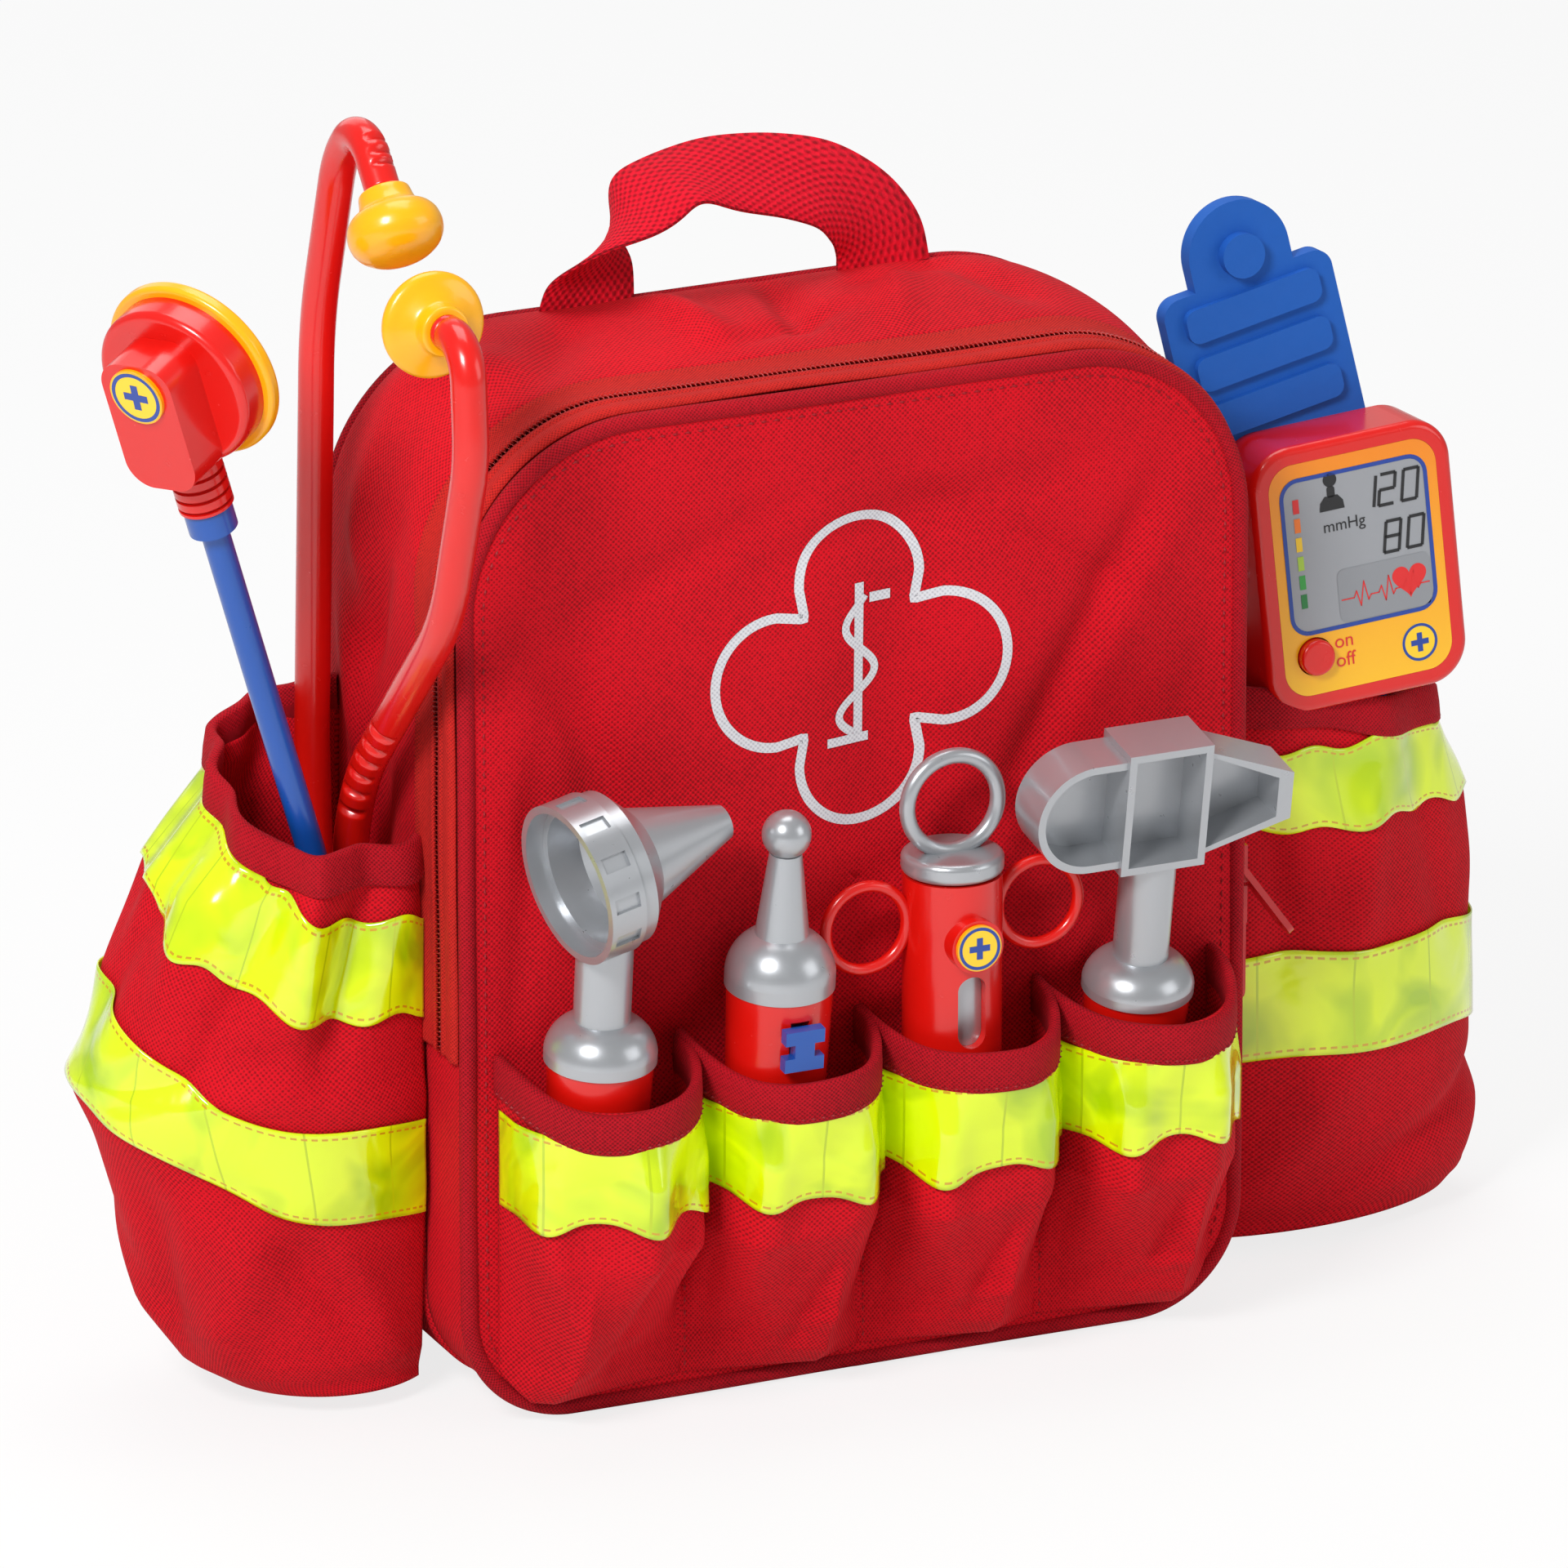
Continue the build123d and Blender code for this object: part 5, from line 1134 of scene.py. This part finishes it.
def rounded(x, y, width, height, radius):
    """Rounded rectangle about its middle."""
    line = []
    for quarter, (sx, sy) in enumerate(((1, 1), (-1, 1), (-1, -1), (1, -1))):
        for a in np.linspace(quarter * math.pi / 2, (quarter + 1) * math.pi / 2, 8):
            line.append((x + sx * (width / 2 - radius) + radius * math.cos(a),
                         y + sy * (height / 2 - radius) + radius * math.sin(a)))
    return line


def stroke(line, width):
    """Quads that follow an open line as a stroke, with square ends half its width long."""
    quads = []
    for (ax, ay), (bx, by) in zip(line[:-1], line[1:]):
        size = math.hypot(bx - ax, by - ay)
        wx, wy = (bx - ax) / size * width / 2, (by - ay) / size * width / 2
        quads.append([(ax - wx + wy, ay - wy - wx), (bx + wx + wy, by + wy - wx),
                      (bx + wx - wy, by + wy + wx), (ax - wx - wy, ay - wy + wx)])
    return quads


def display(name, polygons, material, lift=0.12):
    """Shapes printed on the monitor's face."""
    decal(name, polygons, case_plane, lift, material, "monitor")


# Printed card under a clear film: an orange face that deepens upwards. The silver screen pales
# upwards at a slant, a painted reflection over its grey.
for node_name, grading in (
    ("monitor_face", ("orange_card", "#FFC414", "#F58A00", 0.150, 0.215, 0.0)),
    ("monitor_screen", ("silver_card_painted_reflection", "#9A9DA2", "#F6F7F8", 0.200, 0.290, 0.55)),
):
    nodes[node_name].data.materials[0] = graded(*grading)
display("screen_border", outline_strip(rounded(0, 41, 40.4, 40.4, 4.8), 1.1), print_blue)

segments = {
    "a": [(0, 8), (4, 8)], "b": [(4, 8), (4, 4)], "c": [(4, 4), (4, 0)], "d": [(0, 0), (4, 0)],
    "e": [(0, 4), (0, 0)], "f": [(0, 8), (0, 4)], "g": [(0, 4), (4, 4)],
}
# Each digit: its lit segments and its lower left corner.
digits = (
    ("bc", 1.0, 50.0), ("abged", 6.5, 50.0), ("abcdef", 13.0, 50.0),
    ("abcdefg", 6.9, 37.5), ("abcdef", 13.4, 37.5),
)
stretch, slant = 1.05, 0.16
strokes = []
for lit, start_x, start_y in digits:
    for segment in lit:
        ends = np.array([(px * stretch + slant * py, py) for px, py in segments[segment]])
        gap = (ends[1] - ends[0]) * 0.1
        ends = ends + np.array([gap, -gap]) + np.array([start_x, start_y])
        strokes += stroke([tuple(ends[0]), tuple(ends[1])], 0.85)
display("screen_digits", strokes, print_black)

bust = [disc(-6.4, 59.6, 1.9, 24), rounded(-6.4, 56.4, 2.2, 3.0, 0.8),
        [(-9.9, 51.6), (-2.9, 51.6), (-3.2, 53.8), (-4.6, 55.4), (-8.2, 55.4), (-9.6, 53.8)]]
display("screen_bust", bust, print_black)
for number, tone in enumerate(("#D81E1E", "#F07818", "#F5C81E", "#A8CC3C", "#2E9E3C", "#127A34")):
    step_ink = plastic(f"step_ink_{number + 1}", tone, roughness=0.3)
    step = block(-16.4, 54.4 - 5.0 * number, 1.7, 3.7)
    display(f"screen_step_{number + 1}", [step], step_ink)

display("screen_panel", [rounded(6.2, 28.6, 26, 14, 2)], print_grey)
trace = [
    (-6, 27.6), (-2.6, 27.6), (-1.8, 29.2), (-0.8, 25.2), (0.4, 31.4), (1.4, 26.4), (2.2, 27.6),
    (4.4, 27.6), (5.2, 29.2), (6.2, 25.2), (7.4, 31.4), (8.4, 26.4), (9.2, 27.6), (11.4, 27.6),
    (12.2, 29.2), (13.2, 25.4), (14.4, 31.2), (15.4, 26.6), (16.2, 27.6), (18.6, 27.6),
]
display("screen_trace", stroke(trace, 0.32), print_red, 0.2)
heart = [(13.2 + 0.30 * 16 * math.sin(a) ** 3,
          29.4 + 0.30 * (13 * math.cos(a) - 5 * math.cos(2 * a) - 2 * math.cos(3 * a)
                         - math.cos(4 * a)))
         for a in np.linspace(0, 2 * math.pi, 60, False)]
display("screen_heart", [heart], print_red, 0.16)
sign_plane = [case_plane[0] + case_right * 14.5 + case_up * 12.2] + case_plane[1:]
badge("monitor_sign", sign_plane, 5.2, "monitor")

# The words: their lower left corner on the face, letter size and ink.
lettering = (
    ("mmHg", -9.4, 46.0, 4.4, print_black), ("on", -9.2, 15.4, 5.2, print_red),
    ("off", -9.2, 10.4, 5.2, print_red),
)
for words, px, py, size, ink in lettering:
    text = bpy.data.curves.new(f"words_{words}", "FONT")
    text.body, text.size = words, size
    text_object = bpy.data.objects.new(f"words_{words}", text)
    bpy.context.collection.objects.link(text_object)
    bpy.context.view_layer.update()
    flat = bpy.data.meshes.new_from_object(text_object)
    bpy.data.objects.remove(text_object)
    for vertex in flat.vertices:
        x, y = vertex.co.x + px, vertex.co.y + py
        vertex.co = (case_plane[0] + case_right * x + case_up * y + case_out * 0.12) / 1000
    flat.materials.clear()
    flat.materials.append(ink)
    printed = bpy.data.objects.new(f"lettering_{words}", flat)
    bpy.context.collection.objects.link(printed)
    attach(printed, "monitor")

# STAGE
# Plain studio: a pale paper floor that the camera sees nearly white and that keeps the bag's
# shadow, a white sky, and four soft lamps aimed at the middle of the bag.
# Matt seamless paper: no shine.
floor_material, floor_output = new_material("seamless_paper")
rays = add_node(floor_material, "ShaderNodeLightPath")
seen = add_node(
    floor_material, "ShaderNodeMath", {"operation": "MULTIPLY", 1: 0.8},
    {0: rays.outputs["Is Camera Ray"]},
)
paper = add_node(floor_material, "ShaderNodeBsdfDiffuse", {"Color": colour("#EEEEEE")})
white = add_node(
    floor_material, "ShaderNodeEmission", {"Color": colour("#FFFFFF"), "Strength": 1.0}
)
mixed = add_node(
    floor_material, "ShaderNodeMixShader",
    links={0: seen.outputs[0], 1: paper.outputs[0], 2: white.outputs[0]},
)
floor_material.node_tree.links.new(mixed.outputs[0], floor_output.inputs[0])
half_floor, floor_level = 6, -0.0005
floor_corners = [(x * half_floor, y * half_floor, floor_level)
                 for x, y in ((-1, -1), (1, -1), (1, 1), (-1, 1))]
floor_mesh = bpy.data.meshes.new("floor")
floor_mesh.from_pydata(floor_corners, [], [(0, 1, 2, 3)])
floor_mesh.materials.append(floor_material)
floor = bpy.data.objects.new("floor", floor_mesh)
bpy.context.collection.objects.link(floor)

world = bpy.data.worlds.new("studio")
world.use_nodes = True
world.node_tree.nodes["Background"].inputs[0].default_value = colour("#FFFFFF")
world.node_tree.nodes["Background"].inputs[1].default_value = 0.33
bpy.context.scene.world = world
aim = Vector((0, 0, 0.14))
for name, place, size, power in (
    ("key", (-1.15, -0.95, 1.35), 0.5, 27.0),
    ("fill", (1.4, -1.3, 0.8), 1.0, 6.0),
    ("top", (0.1, 0.3, 1.7), 1.0, 10.0),
    ("back", (0.2, 1.8, 1.0), 1.4, 5.0),
):
    lamp = bpy.data.lights.new(name, "AREA")
    lamp.size = size
    lamp.energy = power
    lamp_object = bpy.data.objects.new(name, lamp)
    lamp_object.location = place
    lamp_object.rotation_euler = (aim - Vector(place)).to_track_quat("-Z", "Y").to_euler()
    bpy.context.collection.objects.link(lamp_object)

# CAMERA
# It stands to the bag's left, as in the photograph, and looks down by 20 degrees. A metre of the
# bag's front is 4870 pixels of the photograph, which is 1920 pixels wide and high.
azimuth, elevation, distance = math.radians(-24.0), math.radians(20.0), 4.0
photo_width, pixels_a_metre, sensor_width = 1920, 4870.0, 36.0
origin_left, origin_below, bag_front = 2, 650, 0.055
right = Vector((math.cos(azimuth), math.sin(azimuth), 0))
up = Vector((-math.sin(elevation) * math.sin(azimuth), math.sin(elevation) * math.cos(azimuth),
             math.cos(elevation)))
backwards = right.cross(up)
middle = right * (-origin_left / pixels_a_metre) + up * (origin_below / pixels_a_metre)
camera_data = bpy.data.cameras.new("camera")
camera_data.sensor_width = sensor_width
camera_data.lens = pixels_a_metre * distance / photo_width * sensor_width
camera = bpy.data.objects.new("camera", camera_data)
camera.location = middle + backwards * (distance + bag_front)
camera.rotation_euler = backwards.to_track_quat("Z", "Y").to_euler()
bpy.context.collection.objects.link(camera)
bpy.context.scene.camera = camera
bpy.context.scene.view_settings.view_transform = "Standard"
